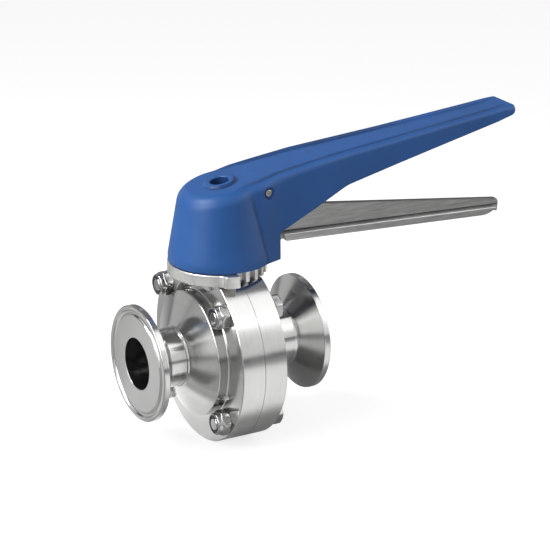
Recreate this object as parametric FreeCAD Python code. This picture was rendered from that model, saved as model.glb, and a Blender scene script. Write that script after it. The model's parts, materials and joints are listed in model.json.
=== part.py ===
import FreeCAD, Part
import math
import os

# Sanitary butterfly valve with a one-inch bore, clamp ferrules and a squeeze-to-turn handle.
# Every size is in millimetres. The shapes are drawn about the valve's centre, where the pipe
# axis (X) crosses the stem axis (Z), and the finished pieces are then moved along X, so that the
# part's own origin is the centre of the inlet ferrule's face. The handle points along +X, which
# is the open position.

V = FreeCAD.Vector
X_AXIS = V(1, 0, 0)
Y_AXIS = V(0, 1, 0)
Z_AXIS = V(0, 0, 1)

# Fits, as clearances on the radius or on one face
running_fit = 0.05
seated_fit = 0.02
moving_gap = 0.3
latch_gap = 0.48

# Pipe ends: clamp ferrules on short necks
face_to_centre = 40.4
bore_r = 11.3
neck_r = 12.7
ferrule_r = 25.25
ferrule_rim = 2.85
ferrule_cone = 6.7
rim_round = 0.5
groove_r = 22.2
groove_half_width = 1.1
groove_depth = 1.0

# Body halves: a bolted flange with a coned hub
flange_r = 39.5
flange_thickness = 10.67
flange_chamfer = 0.4
hub_edge = 12.2
hub_end = 15.5
cone_end = 22.2
collar_r = 13.3
collar_width = 0.7
flat_depth = 4.3

# Rubber seat, clamped in a pocket between the halves
seat_half_width = 7.0
seat_outer_r = 17.5
seat_lip_r = 15.5
seat_lip_reach = 1.2
disc_chamber_r = 11.6
disc_chamber_end = 12.4

# Disc and stem
disc_edge_gap = 0.2
disc_edge_half = 1.2
disc_belly_half = 2.9
disc_hub_r = 5.4
stem_r = 4.5
tang_flats = 6.0
tang_foot = 2.0
tang_height = 7.5
drive_flats = 7.0
drive_top = 58.0

# Stem bushes and the ring that keeps dirt out of the upper one
bush_r = 6.5
bush_start = 17.7
upper_bush_drop = 2.0
lower_bush_cover = 9.3
o_ring_wire_r = 0.93

# Flange bolts, nuts and nylon rings
bolt_edge = 5.6
bolt_r = 3.0
bolt_hole_r = 3.3
bolt_reach = 6.08
hex_flats = 10.0
bolt_head_height = 4.0
nut_height = 6.0
nut_hex_height = 3.9
nut_collar_r = 4.75
nylon_ring_r = 3.95
nylon_ring_foot = 4.3
nylon_ring_height = 1.3

# Index plate: a notched quadrant on the top flat, with legs over both flange faces
plate_thickness = 5.2
plate_rim_r = 22.5
teeth_r = 20.0
notch_root_r = 16.8
notch_width = 3.1
notch_pitch = 15.0
notch_count = 7
lug_r = 25.0
lug_start = 8.0
lug_sweep = 15.0
leg_thickness = 1.5
leg_foot = 31.2
leg_half_span = 12.0
ear_r = 5.6

# Handle housing: a cone over the stem, running into a long hollow arm
cone_foot_r = 22.2
cone_foot_height = 2.8
cone_slope = 0.1726
head_top = 74.4
head_incline = 0.19
head_round = 5.0
screw_hole_r = 4.4
boss_r = 7.5
boss_height = 0.9
block_end = 21.0
arm_root = (22.2, 52.9)
arm_bend = (55.5, 67.5)
arm_tip_x = 143.0
arm_tip_foot = 84.5
arm_tip_bulge = 2.6
arm_tip_round = 4.0
arm_wall = 2.6
roof_share = 0.8
rim_land = 1.3
rim_slope = 0.7
rib_thickness = 1.6
rib_inset = 5.5
rib_places = (64.0, 86.0, 108.0, 128.0)

# Arm sections from the head to the tip: place along X, height of the rim, half width at the
# shoulder, shoulder radius, side draft as a slope, and depth of the sunk top panel
arm_sections = (
    (-2.0, 73.4, 15.9, 5.0, 0.062, 0.05),
    (12.0, 76.7, 16.5, 4.4, 0.060, 0.30),
    (21.5, 78.4, 14.8, 3.8, 0.012, 0.85),
    (40.0, 80.6, 13.8, 2.8, 0.030, 0.90),
    (58.0, 82.1, 12.5, 2.4, 0.030, 0.90),
    (83.0, 84.1, 11.2, 2.2, 0.030, 0.90),
    (arm_tip_x - 35.0, 86.3, 10.3, 2.0, 0.030, 0.90),
    (arm_tip_x - 13.0, 88.3, 9.6, 2.0, 0.030, 0.90),
    (arm_tip_x + 5.0, 90.0, 9.1, 2.0, 0.030, 0.90),
)

# Metal socket in the housing, and the screw that holds the handle on the stem
socket_r = 10.0
socket_flats = 17.0
socket_top = 62.0
socket_web = 3.7
washer_r = 4.0
washer_height = 1.0
screw_r = 2.5
screw_head_r = 4.0
screw_head_height = 5.0
screw_reach = 12.0
key_flats = 4.0
key_depth = 2.6

# Latch slot behind the cone, where the trigger swings
slot_start = 12.2
slot_step = 63.0
slot_high_start = 9.6
slot_wall = 3.0

# Trigger: a flat plate on a cross pin, with a nose that drops into the notches
pivot_x = 15.3
pivot_z = 71.3
pin_r = 1.5
pin_recess = 0.5
pin_ring_r = 2.6
eye_r = 2.8
trigger_thickness = 2.5
nose_height = 3.5
nose_x = teeth_r + moving_gap
latch_back = 24.8
latch_waist_drop = 21.0
trigger_tip_back = 0.5
trigger_tip_foot = 38.3
trigger_tip_top = 44.3
tip_round = 2.2
trigger_shoulder = (51.0, 57.1)
trigger_neck = (38.0, 66.3)

# Grip rail along the trigger's lower edge
rail_width = 8.4
rail_height = 3.6
rail_start = 30.8
rail_start_foot = 43.8
rail_end_back = 3.5
rail_end_foot = 37.9
rail_wrap = 2.0
rail_lean = 1.6
rail_round = 0.8

# Return spring round the cross pin
spring_coil_r = 2.2
spring_wire_r = 0.5
spring_start = 2.0
spring_whole_turns = 4
spring_last_turn = 310.0
spring_pitch = 1.15
spring_leg = 12.0
spring_bend = 1.1
spring_hook_gap = 0.3

# Values that follow from the sizes above
top_flat = flange_r - flat_depth
upper_bush_end = top_flat - upper_bush_drop
lower_bush_end = flange_r - lower_bush_cover
bolt_circle_r = flange_r - bolt_edge
hub_r = flange_r - hub_edge
neck_start = cone_end + collar_width
plate_top = top_flat + plate_thickness
trigger_tip = arm_tip_x - trigger_tip_back
rail_end = trigger_tip - rail_end_back
drive_start = plate_top
housing_foot = plate_top + moving_gap
bolt_offset = bolt_circle_r * math.sqrt(0.5)
disc_r = bore_r - disc_edge_gap
housing_ceiling = 1.6 * head_top
spring_turns = spring_whole_turns + spring_last_turn / 360
spring_side = math.cos(math.radians(spring_last_turn))
spring_rise = -math.sin(math.radians(spring_last_turn))
spring_hook_x = pivot_x + spring_coil_r * spring_side + spring_leg * spring_rise
spring_hook_z = pivot_z + spring_coil_r * spring_rise - spring_leg * spring_side


def side_view(x, z):
    """Point on the plane through the pipe axis and the stem axis."""
    return V(x, 0, z)


def plan_view(x, y):
    """Point on the level plane through the pipe axis."""
    return V(x, y, 0)


def end_view(y, z):
    """Point on the plane square to the pipe axis."""
    return V(0, y, z)


def stem_profile(r, z):
    """Point of a profile that is turned about the stem axis."""
    return V(r, 0, z)


def pipe_profile(x, r):
    """Point of a profile that is turned about the pipe axis."""
    return V(x, 0, r)


def outline(view, start, *steps):
    """Closed face. A step is a corner, or a pair: an arc through its first point to its second."""
    edges = []
    here = start
    for step in steps + (start,):
        if isinstance(step[0], tuple):
            edges.append(Part.Arc(view(*here), view(*step[0]), view(*step[1])).toShape())
            here = step[1]
        elif view(*here).distanceToPoint(view(*step)) > 1e-6:
            edges.append(Part.makeLine(view(*here), view(*step)))
            here = step
    return Part.Face(Part.Wire(edges))


def turned(face, axis):
    """Solid of revolution."""
    return face.revolve(V(0, 0, 0), axis, 360)


def bar(radius, start, end):
    """Round bar from one point to another."""
    return Part.makeCylinder(radius, start.distanceToPoint(end), start, end.sub(start))


def slab(face, low, high, along):
    """Face that lies through the centre, carried from low to high along an axis."""
    return face.translated(along * low).extrude(along * (high - low))


def block(low, high):
    """Box between two opposite corners."""
    size = high.sub(low)
    return Part.makeBox(size.x, size.y, size.z, low)


def square_bar(flats, low, high):
    """Upright square bar on the stem axis."""
    return block(V(-flats / 2, -flats / 2, low), V(flats / 2, flats / 2, high))


def hexagon(flats, height, base, axis):
    """Hexagonal prism with its outer corners turned off at the far end."""
    corner_r = flats / 2 / math.cos(math.radians(30))
    corners = [V(corner_r * math.cos(a), corner_r * math.sin(a), 0)
               for a in (math.radians(60 * i) for i in range(7))]
    prism = Part.Face(Part.makePolygon(corners)).extrude(V(0, 0, height))
    bevel = corner_r - flats / 2
    dome = turned(outline(stem_profile, (0, 0), (corner_r, 0), (corner_r, height - bevel / 2),
                          (corner_r - bevel, height), (0, height)), Z_AXIS)
    shape = prism.common(dome)
    shape.rotate(V(0, 0, 0), Z_AXIS, 30)
    turn = FreeCAD.Rotation(Z_AXIS, axis)
    shape.Placement = FreeCAD.Placement(base, turn).multiply(shape.Placement)
    return shape


def bolt_places():
    """Bolt centres round the flange, at 45 degrees to the stem."""
    return [(y, z) for y in (bolt_offset, -bolt_offset) for z in (bolt_offset, -bolt_offset)]


def on_each_bolt(piece):
    """The same piece at each bolt."""
    return [piece.translated(V(0, y, z)) for y, z in bolt_places()]


def sector(r_in, r_out, start, sweep):
    """Level ring segment between two azimuths in degrees, about the stem axis."""
    def at(r, degrees):
        return (r * math.cos(math.radians(degrees)), r * math.sin(math.radians(degrees)))
    end = start + sweep
    mid = start + sweep / 2
    return outline(plan_view, at(r_in, start), at(r_out, start), (at(r_out, mid), at(r_out, end)),
                   at(r_in, end), (at(r_in, mid), at(r_in, start)))


def ferrule():
    """Outlet clamp ferrule on its neck, which is welded to the hub's collar."""
    face = face_to_centre
    neck_end = face - ferrule_rim - ferrule_cone
    edge = rim_round * (1 - math.sqrt(0.5))
    return turned(outline(
        pipe_profile,
        (neck_start, bore_r),
        (neck_start, neck_r),
        (neck_end, neck_r),
        (face - ferrule_rim, ferrule_r),
        (face - rim_round, ferrule_r),
        ((face - edge, ferrule_r - edge), (face, ferrule_r - rim_round)),
        (face, groove_r + groove_half_width),
        ((face - groove_depth, groove_r), (face, groove_r - groove_half_width)),
        (face, bore_r)), X_AXIS)


def body_half():
    """Outlet half: coned hub and flange, bored for the seat, the bushes and the bolts."""
    seat_lip = seat_half_width + seat_lip_reach
    shape = turned(outline(
        pipe_profile,
        (0, seat_outer_r),
        (0, flange_r - flange_chamfer),
        (flange_chamfer, flange_r),
        (flange_thickness - flange_chamfer, flange_r),
        (flange_thickness, flange_r - flange_chamfer),
        (flange_thickness, hub_r),
        (hub_end, hub_r),
        (cone_end, collar_r),
        (neck_start, collar_r),
        (neck_start, bore_r),
        (disc_chamber_end, bore_r),
        (disc_chamber_end, disc_chamber_r),
        (seat_half_width, disc_chamber_r),
        (seat_half_width, seat_lip_r),
        (seat_lip, seat_lip_r),
        (seat_lip, seat_outer_r)), X_AXIS)
    above = block(V(-1, -flange_r, top_flat), V(flange_thickness + 1, flange_r, flange_r + 1))
    shape = shape.cut(above)
    shape = shape.cut(bar(bush_r, V(0, 0, seat_lip_r), V(0, 0, top_flat + 1)))
    shape = shape.cut(bar(bush_r, V(0, 0, -seat_lip_r), V(0, 0, -lower_bush_end - moving_gap)))
    for hole in on_each_bolt(bar(bolt_hole_r, V(-1, 0, 0), V(flange_thickness + 1, 0, 0))):
        shape = shape.cut(hole)
    return shape


def seat_ring():
    """Rubber ring with a lip on each side and a hole at the top and bottom for the stem."""
    half = seat_half_width - seated_fit
    lip = half + seat_lip_reach
    outer = seat_outer_r - seated_fit
    shape = turned(outline(pipe_profile, (-half, bore_r), (half, bore_r),
                           (half, seat_lip_r + seated_fit), (lip, seat_lip_r + seated_fit),
                           (lip, outer), (-lip, outer), (-lip, seat_lip_r + seated_fit),
                           (-half, seat_lip_r + seated_fit)), X_AXIS)
    return shape.cut(bar(stem_r + running_fit, V(0, 0, -flange_r), V(0, 0, flange_r)))


def disc():
    """Lens-shaped disc with a round-edged hub, a square socket above and a trunnion below."""
    reach = disc_r + 1
    lens = turned(outline(lambda r, y: V(r, y, 0), (0, -disc_belly_half), (reach, -disc_edge_half),
                          (reach, disc_edge_half), (0, disc_belly_half)), Y_AXIS)
    shape = lens.fuse(bar(disc_hub_r, V(0, 0, -reach), V(0, 0, reach)))
    shape = shape.common(Part.makeSphere(disc_r))
    shape = shape.fuse(bar(stem_r, V(0, 0, -disc_r + 1), V(0, 0, -lower_bush_end)))
    return shape.cut(square_bar(tang_flats + 2 * seated_fit, tang_foot - seated_fit, reach))


def drive_stem():
    """Round stem with a square tang for the disc, a square for the handle and a tapped end."""
    tang = square_bar(tang_flats, tang_foot, tang_foot + tang_height)
    shank = bar(stem_r, V(0, 0, disc_r + moving_gap), V(0, 0, drive_start))
    tang_top = square_bar(tang_flats, tang_foot + tang_height, disc_r + moving_gap)
    drive = square_bar(drive_flats, drive_start, drive_top)
    drive = drive.common(bar(stem_r, V(0, 0, drive_start), V(0, 0, drive_top)))
    shape = shank.fuse([tang, tang_top, drive])
    tapped = bar(screw_r + seated_fit, V(0, 0, screw_foot() - 1), V(0, 0, drive_top + 1))
    return shape.cut(tapped)


def screw_foot():
    """Height of the handle screw's lower end."""
    return drive_top - screw_reach


def bush(low, high):
    """Plain bearing sleeve on the stem axis."""
    outer = bar(bush_r - seated_fit, V(0, 0, low), V(0, 0, high))
    return outer.cut(bar(stem_r + running_fit, V(0, 0, low - 1), V(0, 0, high + 1)))


def o_ring():
    """Rubber ring above the upper bush, under the index plate."""
    height = upper_bush_end + o_ring_wire_r + seated_fit
    return Part.makeTorus(stem_r + running_fit + seated_fit + o_ring_wire_r, o_ring_wire_r,
                          V(0, 0, height), Z_AXIS)


def index_plate():
    """Notched plate with two stop lugs, a leg over each flange face and an ear for one bolt."""
    rim = Part.Face(Part.Wire(Part.makeCircle(plate_rim_r)))
    quadrant = 90 + 2 * lug_start
    shape = slab(rim, top_flat, plate_top, Z_AXIS)
    waste = sector(teeth_r, lug_r + 1, lug_start - quadrant, quadrant)
    shape = shape.cut(slab(waste, top_flat - 1, plate_top + 1, Z_AXIS))
    for start in (lug_start, lug_start - quadrant - lug_sweep):
        lug = sector(notch_root_r, lug_r, start, lug_sweep)
        shape = shape.fuse(slab(lug, top_flat, plate_top, Z_AXIS))
    for i in range(notch_count):
        notch = block(V(notch_root_r, -notch_width / 2, top_flat - 1),
                      V(lug_r + 1, notch_width / 2, plate_top + 1))
        notch.rotate(V(0, 0, 0), Z_AXIS, -notch_pitch * i)
        shape = shape.cut(notch)
    leg_high = (leg_half_span, plate_top)
    front = outline(end_view, (-leg_half_span, leg_foot), (leg_half_span - 2.5, leg_foot),
                    (bolt_offset - ear_r * 0.7, bolt_offset - ear_r * 0.7),
                    (bolt_offset + ear_r * 0.7, bolt_offset + ear_r * 0.7),
                    (leg_half_span + 4.5, plate_top - 1.5), leg_high, (-leg_half_span, plate_top))
    back = outline(end_view, (-leg_half_span, leg_foot), (leg_half_span, leg_foot), leg_high,
                   (-leg_half_span, plate_top))
    outside = -flange_thickness - leg_thickness
    ear = bar(ear_r, V(outside, bolt_offset, bolt_offset),
              V(-flange_thickness, bolt_offset, bolt_offset))
    shape = shape.fuse([slab(front, outside, -flange_thickness, X_AXIS), ear,
                        slab(back, flange_thickness, flange_thickness + leg_thickness, X_AXIS)])
    shape = shape.cut(bar(bolt_hole_r, V(outside - 1, bolt_offset, bolt_offset),
                          V(0, bolt_offset, bolt_offset)))
    return shape.cut(bar(stem_r + moving_gap, V(0, 0, 0), V(0, 0, plate_top + 1)))


def body_bolts():
    """Hexagon bolts through both flanges, with their heads on the outlet side. Each shank reaches
    as far into its nut, so the one under the index plate's ear is longer."""
    head = hexagon(hex_flats, bolt_head_height, V(flange_thickness, 0, 0), X_AXIS)
    bolts = []
    for y, z in bolt_places():
        end = nut_seat(y, z) - bolt_reach
        shank = bar(bolt_r, V(end, 0, 0), V(flange_thickness, 0, 0))
        bolts.append(shank.fuse(head).translated(V(0, y, z)))
    return Part.makeCompound(bolts)


def nut_seat(y, z):
    """Place along X of the face that a nut sits on: one nut sits on the index plate's ear."""
    on_ear = y > 0 and z > 0
    return -flange_thickness - (leg_thickness if on_ear else 0)


def lock_nut():
    """Hexagon nut with a round collar that holds the nylon ring, facing along -X."""
    foot = V(0, 0, 0)
    collar = turned(outline(pipe_profile, (0, 0), (0, nut_collar_r),
                            (-nut_height + 0.6, nut_collar_r), (-nut_height, nut_collar_r - 0.6),
                            (-nut_height, 0)), X_AXIS)
    shape = hexagon(hex_flats, nut_hex_height, foot, V(-1, 0, 0)).fuse(collar)
    shape = shape.cut(bar(bolt_r + running_fit, V(1, 0, 0), V(-nut_height - 1, 0, 0)))
    return shape.cut(bar(nylon_ring_r, V(-nylon_ring_foot, 0, 0), V(-nut_height - 1, 0, 0)))


def nylon_ring():
    """Nylon ring in the nut's collar."""
    foot = V(-nylon_ring_foot, 0, 0)
    end = V(-nylon_ring_foot - nylon_ring_height, 0, 0)
    return bar(nylon_ring_r - seated_fit, foot, end).cut(bar(bolt_r + seated_fit, foot, end))


def at_each_nut(piece):
    """The same piece at each nut, each on its own seat."""
    return Part.makeCompound([piece.translated(V(nut_seat(y, z), y, z)) for y, z in bolt_places()])


def arm_section(x, rim, half, shoulder, draft, sunk, floor):
    """Arm cross-section: drafted sides, round shoulders, a rim on each side and a sunk panel."""
    def across(y, z):
        return V(x, y, z)
    side = rim - shoulder
    foot = half + draft * (side - floor)
    knee = shoulder * (1 - math.sqrt(0.5))
    land = half - shoulder - rim_land
    panel = land - rim_slope
    return outline(across, (foot, floor), (half, side),
                   ((half - knee, rim - knee), (half - shoulder, rim)),
                   (land, rim), (panel, rim - sunk), (-panel, rim - sunk), (-land, rim),
                   (-half + shoulder, rim), ((-half + knee, rim - knee), (-half, side)),
                   (-foot, floor)).OuterWire


def cavity_section(x, rim, half, shoulder, draft, sunk, floor):
    """Cross-section of the arm's hollow: one wall inside the arm section."""
    wall = slot_wall if x < block_end else arm_wall
    roof = rim - sunk - wall * roof_share
    top = half - wall - shoulder * 0.3
    foot = half + draft * (rim - shoulder - floor) - wall
    corners = [V(x, foot, floor), V(x, top, roof), V(x, -top, roof), V(x, -foot, floor)]
    return Part.makePolygon(corners + corners[:1])


def arm_foot(x):
    """Height of the arm's lower edge."""
    bend_x, bend_z = arm_bend
    return bend_z + (x - bend_x) * (arm_tip_foot - bend_z) / (arm_tip_x - bend_x)


def arm_hollow():
    """Space inside the arm and the block, open below, with cross ribs left standing."""
    hollow = Part.makeLoft([cavity_section(*row, housing_foot - 1) for row in arm_sections[1:]],
                           True, True)
    reach = block(V(slot_start, -flange_r, 0), V(arm_tip_x - arm_wall, flange_r, housing_ceiling))
    high = block(V(slot_high_start, -flange_r, slot_step),
                 V(slot_start, flange_r, housing_ceiling))
    ribs = [block(V(x, -flange_r, arm_foot(x) + rib_inset),
                  V(x + rib_thickness, flange_r, housing_ceiling)) for x in rib_places]
    return hollow.common(reach.fuse(high)).cut(ribs[0].fuse(ribs[1:]))


def roof_height(x):
    """Height of the hollow's roof between the first two sections that it has."""
    low, high = arm_sections[1], arm_sections[2]
    share = (x - low[0]) / (high[0] - low[0])
    roofs = [row[1] - row[5] - slot_wall * roof_share for row in (low, high)]
    return roofs[0] + share * (roofs[1] - roofs[0])


def arm_blank():
    """Arm and the block behind the cone, still solid inside."""
    shape = Part.makeLoft([arm_section(*row, housing_foot) for row in arm_sections], True, True)
    tip_end = arm_tip_x + arm_tip_bulge
    below = outline(side_view, (block_end, 0), (block_end, arm_root[1] - 1.5),
                    ((block_end + 0.3, arm_root[1] - 0.5), arm_root), arm_bend,
                    (arm_tip_x, arm_tip_foot),
                    ((tip_end, arm_tip_foot + 2.2), (arm_tip_x, arm_tip_foot + 5.2)),
                    (arm_tip_x, housing_ceiling), (2 * arm_tip_x, housing_ceiling),
                    (2 * arm_tip_x, 0))
    shape = shape.cut(slab(below, -flange_r, flange_r, Y_AXIS))
    tip_half = arm_sections[-1][2] + 0.4
    corner = arm_tip_round * (1 - math.sqrt(0.5))
    near = arm_tip_x + arm_tip_bulge - arm_tip_round
    far_x = arm_tip_x + arm_tip_bulge
    ends = outline(plan_view, (-flange_r, -flange_r), (near, -flange_r), (near, -tip_half),
                   ((far_x - corner, -tip_half + corner), (far_x, -tip_half + arm_tip_round)),
                   (far_x, tip_half - arm_tip_round),
                   ((far_x - corner, tip_half - corner), (near, tip_half)),
                   (near, flange_r), (-flange_r, flange_r))
    return shape.common(slab(ends, 0, housing_ceiling, Z_AXIS))


def top_plane(height, low, high):
    """Wedge over the head's inclined top, from a height at the stem axis upwards."""
    rise = head_incline
    return slab(outline(side_view, (low, height + low * rise), (high, height + high * rise),
                        (high, housing_ceiling), (low, housing_ceiling)),
                -flange_r, flange_r, Y_AXIS)


def housing_cone():
    """Cone over the stem, with an inclined top that is rounded into its side."""
    knee = cone_foot_r - 0.3
    straight = housing_foot + cone_foot_height
    peak = head_top + cone_foot_r * head_incline
    cone = turned(outline(stem_profile, (0, housing_foot), (knee, housing_foot),
                          (cone_foot_r, housing_foot + 0.3), (cone_foot_r, straight),
                          (cone_foot_r - cone_slope * (peak - straight), peak), (0, peak)), Z_AXIS)
    cone = cone.cut(top_plane(head_top, -flange_r, flange_r))
    top_edges = [e for e in cone.Edges
                 if e.BoundBox.ZMin > head_top - cone_foot_r * head_incline and e.Length > 1
                 and e.BoundBox.ZLength > 1]
    return cone.makeFillet(head_round, top_edges)


def screw_boss():
    """Low round boss about the screw hole, parallel to the head's top."""
    post = bar(boss_r, V(0, 0, head_top - boss_r), V(0, 0, housing_ceiling))
    return post.cut(top_plane(head_top + boss_height, -flange_r, flange_r))


def handle_housing():
    """Moulded handle: cone, block and arm, with seats for the socket, the screw and the pin."""
    shape = housing_cone().fuse(arm_blank()).fuse(screw_boss())
    shape = shape.cut(arm_hollow()).fuse(pin_bosses())
    shape = shape.cut(socket_blank(seated_fit))
    shape = shape.cut(bar(screw_hole_r, V(0, 0, socket_top - 1), V(0, 0, housing_ceiling)))
    pin_hole = bar(pin_r + seated_fit, V(pivot_x, -flange_r, pivot_z),
                   V(pivot_x, flange_r, pivot_z))
    shape = shape.cut(pin_hole)
    for side in (-1, 1):
        start = V(pivot_x, side * (pin_end() - pin_recess), pivot_z)
        shape = shape.cut(bar(pin_ring_r, start, V(pivot_x, side * flange_r, pivot_z)))
    return shape.removeSplitter()


def pin_end():
    """Distance from the middle plane to the housing's side at the pin."""
    low, high = arm_sections[1], arm_sections[2]
    share = (pivot_x - low[0]) / (high[0] - low[0])
    halves = [row[2] + row[4] * (row[1] - row[3] - pivot_z) for row in (low, high)]
    return halves[0] + share * (halves[1] - halves[0])


def pin_bosses():
    """Round bosses inside the housing that carry the pin up to the trigger and the spring."""
    near = trigger_thickness / 2 + moving_gap
    far = spring_start + spring_pitch * spring_turns + 2 * spring_wire_r
    inner = pin_end() - slot_wall + 1
    return [bar(eye_r, V(pivot_x, -inner, pivot_z), V(pivot_x, -near, pivot_z)),
            bar(eye_r, V(pivot_x, far, pivot_z), V(pivot_x, inner, pivot_z))]


def socket_blank(grow):
    """Round metal boss with two flats that stop it turning in the housing."""
    low = housing_foot - grow
    round_part = bar(socket_r + grow, V(0, 0, low), V(0, 0, socket_top + grow))
    half = socket_flats / 2 + grow
    return round_part.common(block(V(-socket_r - 1, -half, 0), V(socket_r + 1, half, housing_ceiling)))


def stem_socket():
    """Metal socket: a square hole for the stem and a web for the screw."""
    shape = socket_blank(0)
    web = socket_top - socket_web
    shape = shape.cut(square_bar(drive_flats + 2 * seated_fit, 0, web))
    return shape.cut(bar(screw_r + running_fit, V(0, 0, web - 1), V(0, 0, socket_top + 1)))


def screw_washer():
    """Plain washer under the screw head."""
    low, high = V(0, 0, socket_top), V(0, 0, socket_top + washer_height)
    return bar(washer_r, low, high).cut(bar(screw_r + running_fit, low, high))


def handle_screw():
    """Socket-head screw down the middle of the handle into the stem."""
    under = socket_top + washer_height
    top = under + screw_head_height
    shape = bar(screw_r, V(0, 0, screw_foot()), V(0, 0, under))
    shape = shape.fuse(bar(screw_head_r, V(0, 0, under), V(0, 0, top)))
    key = hexagon(key_flats, key_depth + 1, V(0, 0, top - key_depth), Z_AXIS)
    return shape.cut(key)


def pivot_pin():
    """Cross pin, pressed into the housing and sunk a little at each side."""
    end = pin_end() - pin_recess
    return bar(pin_r, V(pivot_x, -end, pivot_z), V(pivot_x, end, pivot_z))


def rail_foot(x):
    """Height of the grip rail's underside."""
    return rail_start_foot + (x - rail_start) * (rail_end_foot - rail_start_foot) / (
        rail_end - rail_start)


def trigger_plate():
    """Flat plate: eye on the pin, latch nose below, and a long tapered grip web."""
    edge = rail_height - rail_wrap
    low_start = rail_start - rail_lean
    nose_foot = plate_top - latch_gap - nose_height
    nose_head = nose_foot + nose_height
    shape = outline(
        side_view,
        (pivot_x + eye_r * 0.5, pivot_z + eye_r * 0.8),
        trigger_neck,
        ((trigger_neck[0] + 6.3, trigger_neck[1] - 6.3), trigger_shoulder),
        (trigger_tip - tip_round, trigger_tip_top),
        ((trigger_tip - 0.5, trigger_tip_top - 0.9), (trigger_tip, trigger_tip_top - tip_round)),
        (trigger_tip - 0.5, trigger_tip_foot),
        (rail_end - 5, rail_foot(rail_end - 5) + edge),
        (rail_start + 1, rail_foot(rail_start + 1) + edge),
        (low_start, rail_start_foot),
        (latch_back + 1.5, rail_start_foot - 0.3),
        ((latch_back + 0.45, rail_start_foot - 0.75), (latch_back, rail_start_foot - 1.8)),
        (latch_back, nose_foot),
        (nose_x, nose_foot),
        (nose_x, nose_head),
        (nose_x + 0.4, plate_top + 1),
        (pivot_x + 1.5, pivot_z - latch_waist_drop),
        (pivot_x - eye_r * 0.7, pivot_z - eye_r * 0.7))
    half = trigger_thickness / 2
    through = 2 * trigger_thickness
    plate = slab(shape, -half, half, Y_AXIS)
    plate = plate.fuse(bar(eye_r, V(pivot_x, -half, pivot_z), V(pivot_x, half, pivot_z)))
    plate = plate.cut(bar(pin_r + running_fit, V(pivot_x, -through, pivot_z), V(pivot_x, through, pivot_z)))
    hook_r = spring_wire_r + spring_hook_gap
    return plate.cut(bar(hook_r, V(spring_hook_x, -through, spring_hook_z),
                         V(spring_hook_x, through, spring_hook_z)))


def grip_rail():
    """Rounded bar that wraps the trigger plate's lower edge."""
    low, high = rail_start, rail_end
    side = outline(side_view, (low, rail_foot(low)), (high - 7, rail_foot(high - 7)),
                   (high, rail_foot(high) + rail_height - 1.6), (high, rail_foot(high) + rail_height),
                   (low - rail_lean, rail_foot(low - rail_lean) + rail_height))
    half = rail_width / 2
    shape = slab(side, -half, half, Y_AXIS)
    long_edges = [e for e in shape.Edges
                  if abs(abs(e.CenterOfMass.y) - half) < 1e-6 and e.Length > rail_end / 2]
    shape = shape.makeFillet(rail_round, long_edges)
    return shape.cut(trigger_plate())


def trigger_spring():
    """Torsion spring on the pin: one leg against the housing roof, the other hooked in the plate."""
    height = spring_pitch * spring_turns
    helix = Part.makeHelix(spring_pitch, height, spring_coil_r)
    wire = Part.Wire(Part.makeCircle(spring_wire_r, V(spring_coil_r, 0, 0), Y_AXIS))
    coil = Part.Wire(helix.Edges).makePipeShell([wire], True, True)
    coil.rotate(V(0, 0, 0), X_AXIS, -90)
    coil.translate(V(pivot_x, spring_start, pivot_z))
    near = V(pivot_x + spring_coil_r, spring_start, pivot_z)
    far = V(pivot_x + spring_coil_r * spring_side, spring_start + height,
            pivot_z + spring_coil_r * spring_rise)
    hook = V(spring_hook_x, far.y, spring_hook_z)
    hook_end = V(spring_hook_x, -trigger_thickness / 2 - spring_wire_r, spring_hook_z)
    roof = V(near.x, near.y, roof_height(near.x) - moving_gap / 2)
    bends = [Part.makeSphere(spring_wire_r * spring_bend, place) for place in (near, far, hook)]
    legs = bends + [bar(spring_wire_r, near, roof), bar(spring_wire_r, far, hook),
                    bar(spring_wire_r, hook, hook_end)]
    return coil.fuse(legs)


def mirrored(shape):
    """The same shape on the inlet side."""
    return shape.mirror(V(0, 0, 0), X_AXIS)


def export(node, shape):
    """Write one piece, moved so that the inlet ferrule's face is at the origin."""
    shape.translated(V(face_to_centre, 0, 0)).exportStep("parts/" + node + ".step")


def main():
    """Build every piece and write its file."""
    os.makedirs("parts", exist_ok=True)
    outlet_body = body_half()
    export("outlet_body", outlet_body)
    export("inlet_body", mirrored(outlet_body))
    outlet_ferrule = ferrule()
    export("outlet_ferrule", outlet_ferrule)
    export("inlet_ferrule", mirrored(outlet_ferrule))
    export("seat_ring", seat_ring())
    export("disc", disc())
    export("drive_stem", drive_stem())
    export("upper_bush", bush(bush_start, upper_bush_end))
    export("lower_bush", bush(-lower_bush_end, -bush_start))
    export("stem_o_ring", o_ring())
    export("index_plate", index_plate())
    export("body_bolts", body_bolts())
    export("body_nuts", at_each_nut(lock_nut()))
    export("nylon_rings", at_each_nut(nylon_ring()))
    export("handle_housing", handle_housing())
    export("stem_socket", stem_socket())
    export("screw_washer", screw_washer())
    export("handle_screw", handle_screw())
    export("pivot_pin", pivot_pin())
    export("trigger_plate", trigger_plate())
    export("grip_rail", grip_rail())
    export("trigger_spring", trigger_spring())


main()
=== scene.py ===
import json
import math

import bmesh
import bpy
import numpy as np
from bpy.props import FloatProperty, FloatVectorProperty, PointerProperty
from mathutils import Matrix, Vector
from mathutils.geometry import tessellate_polygon


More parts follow.
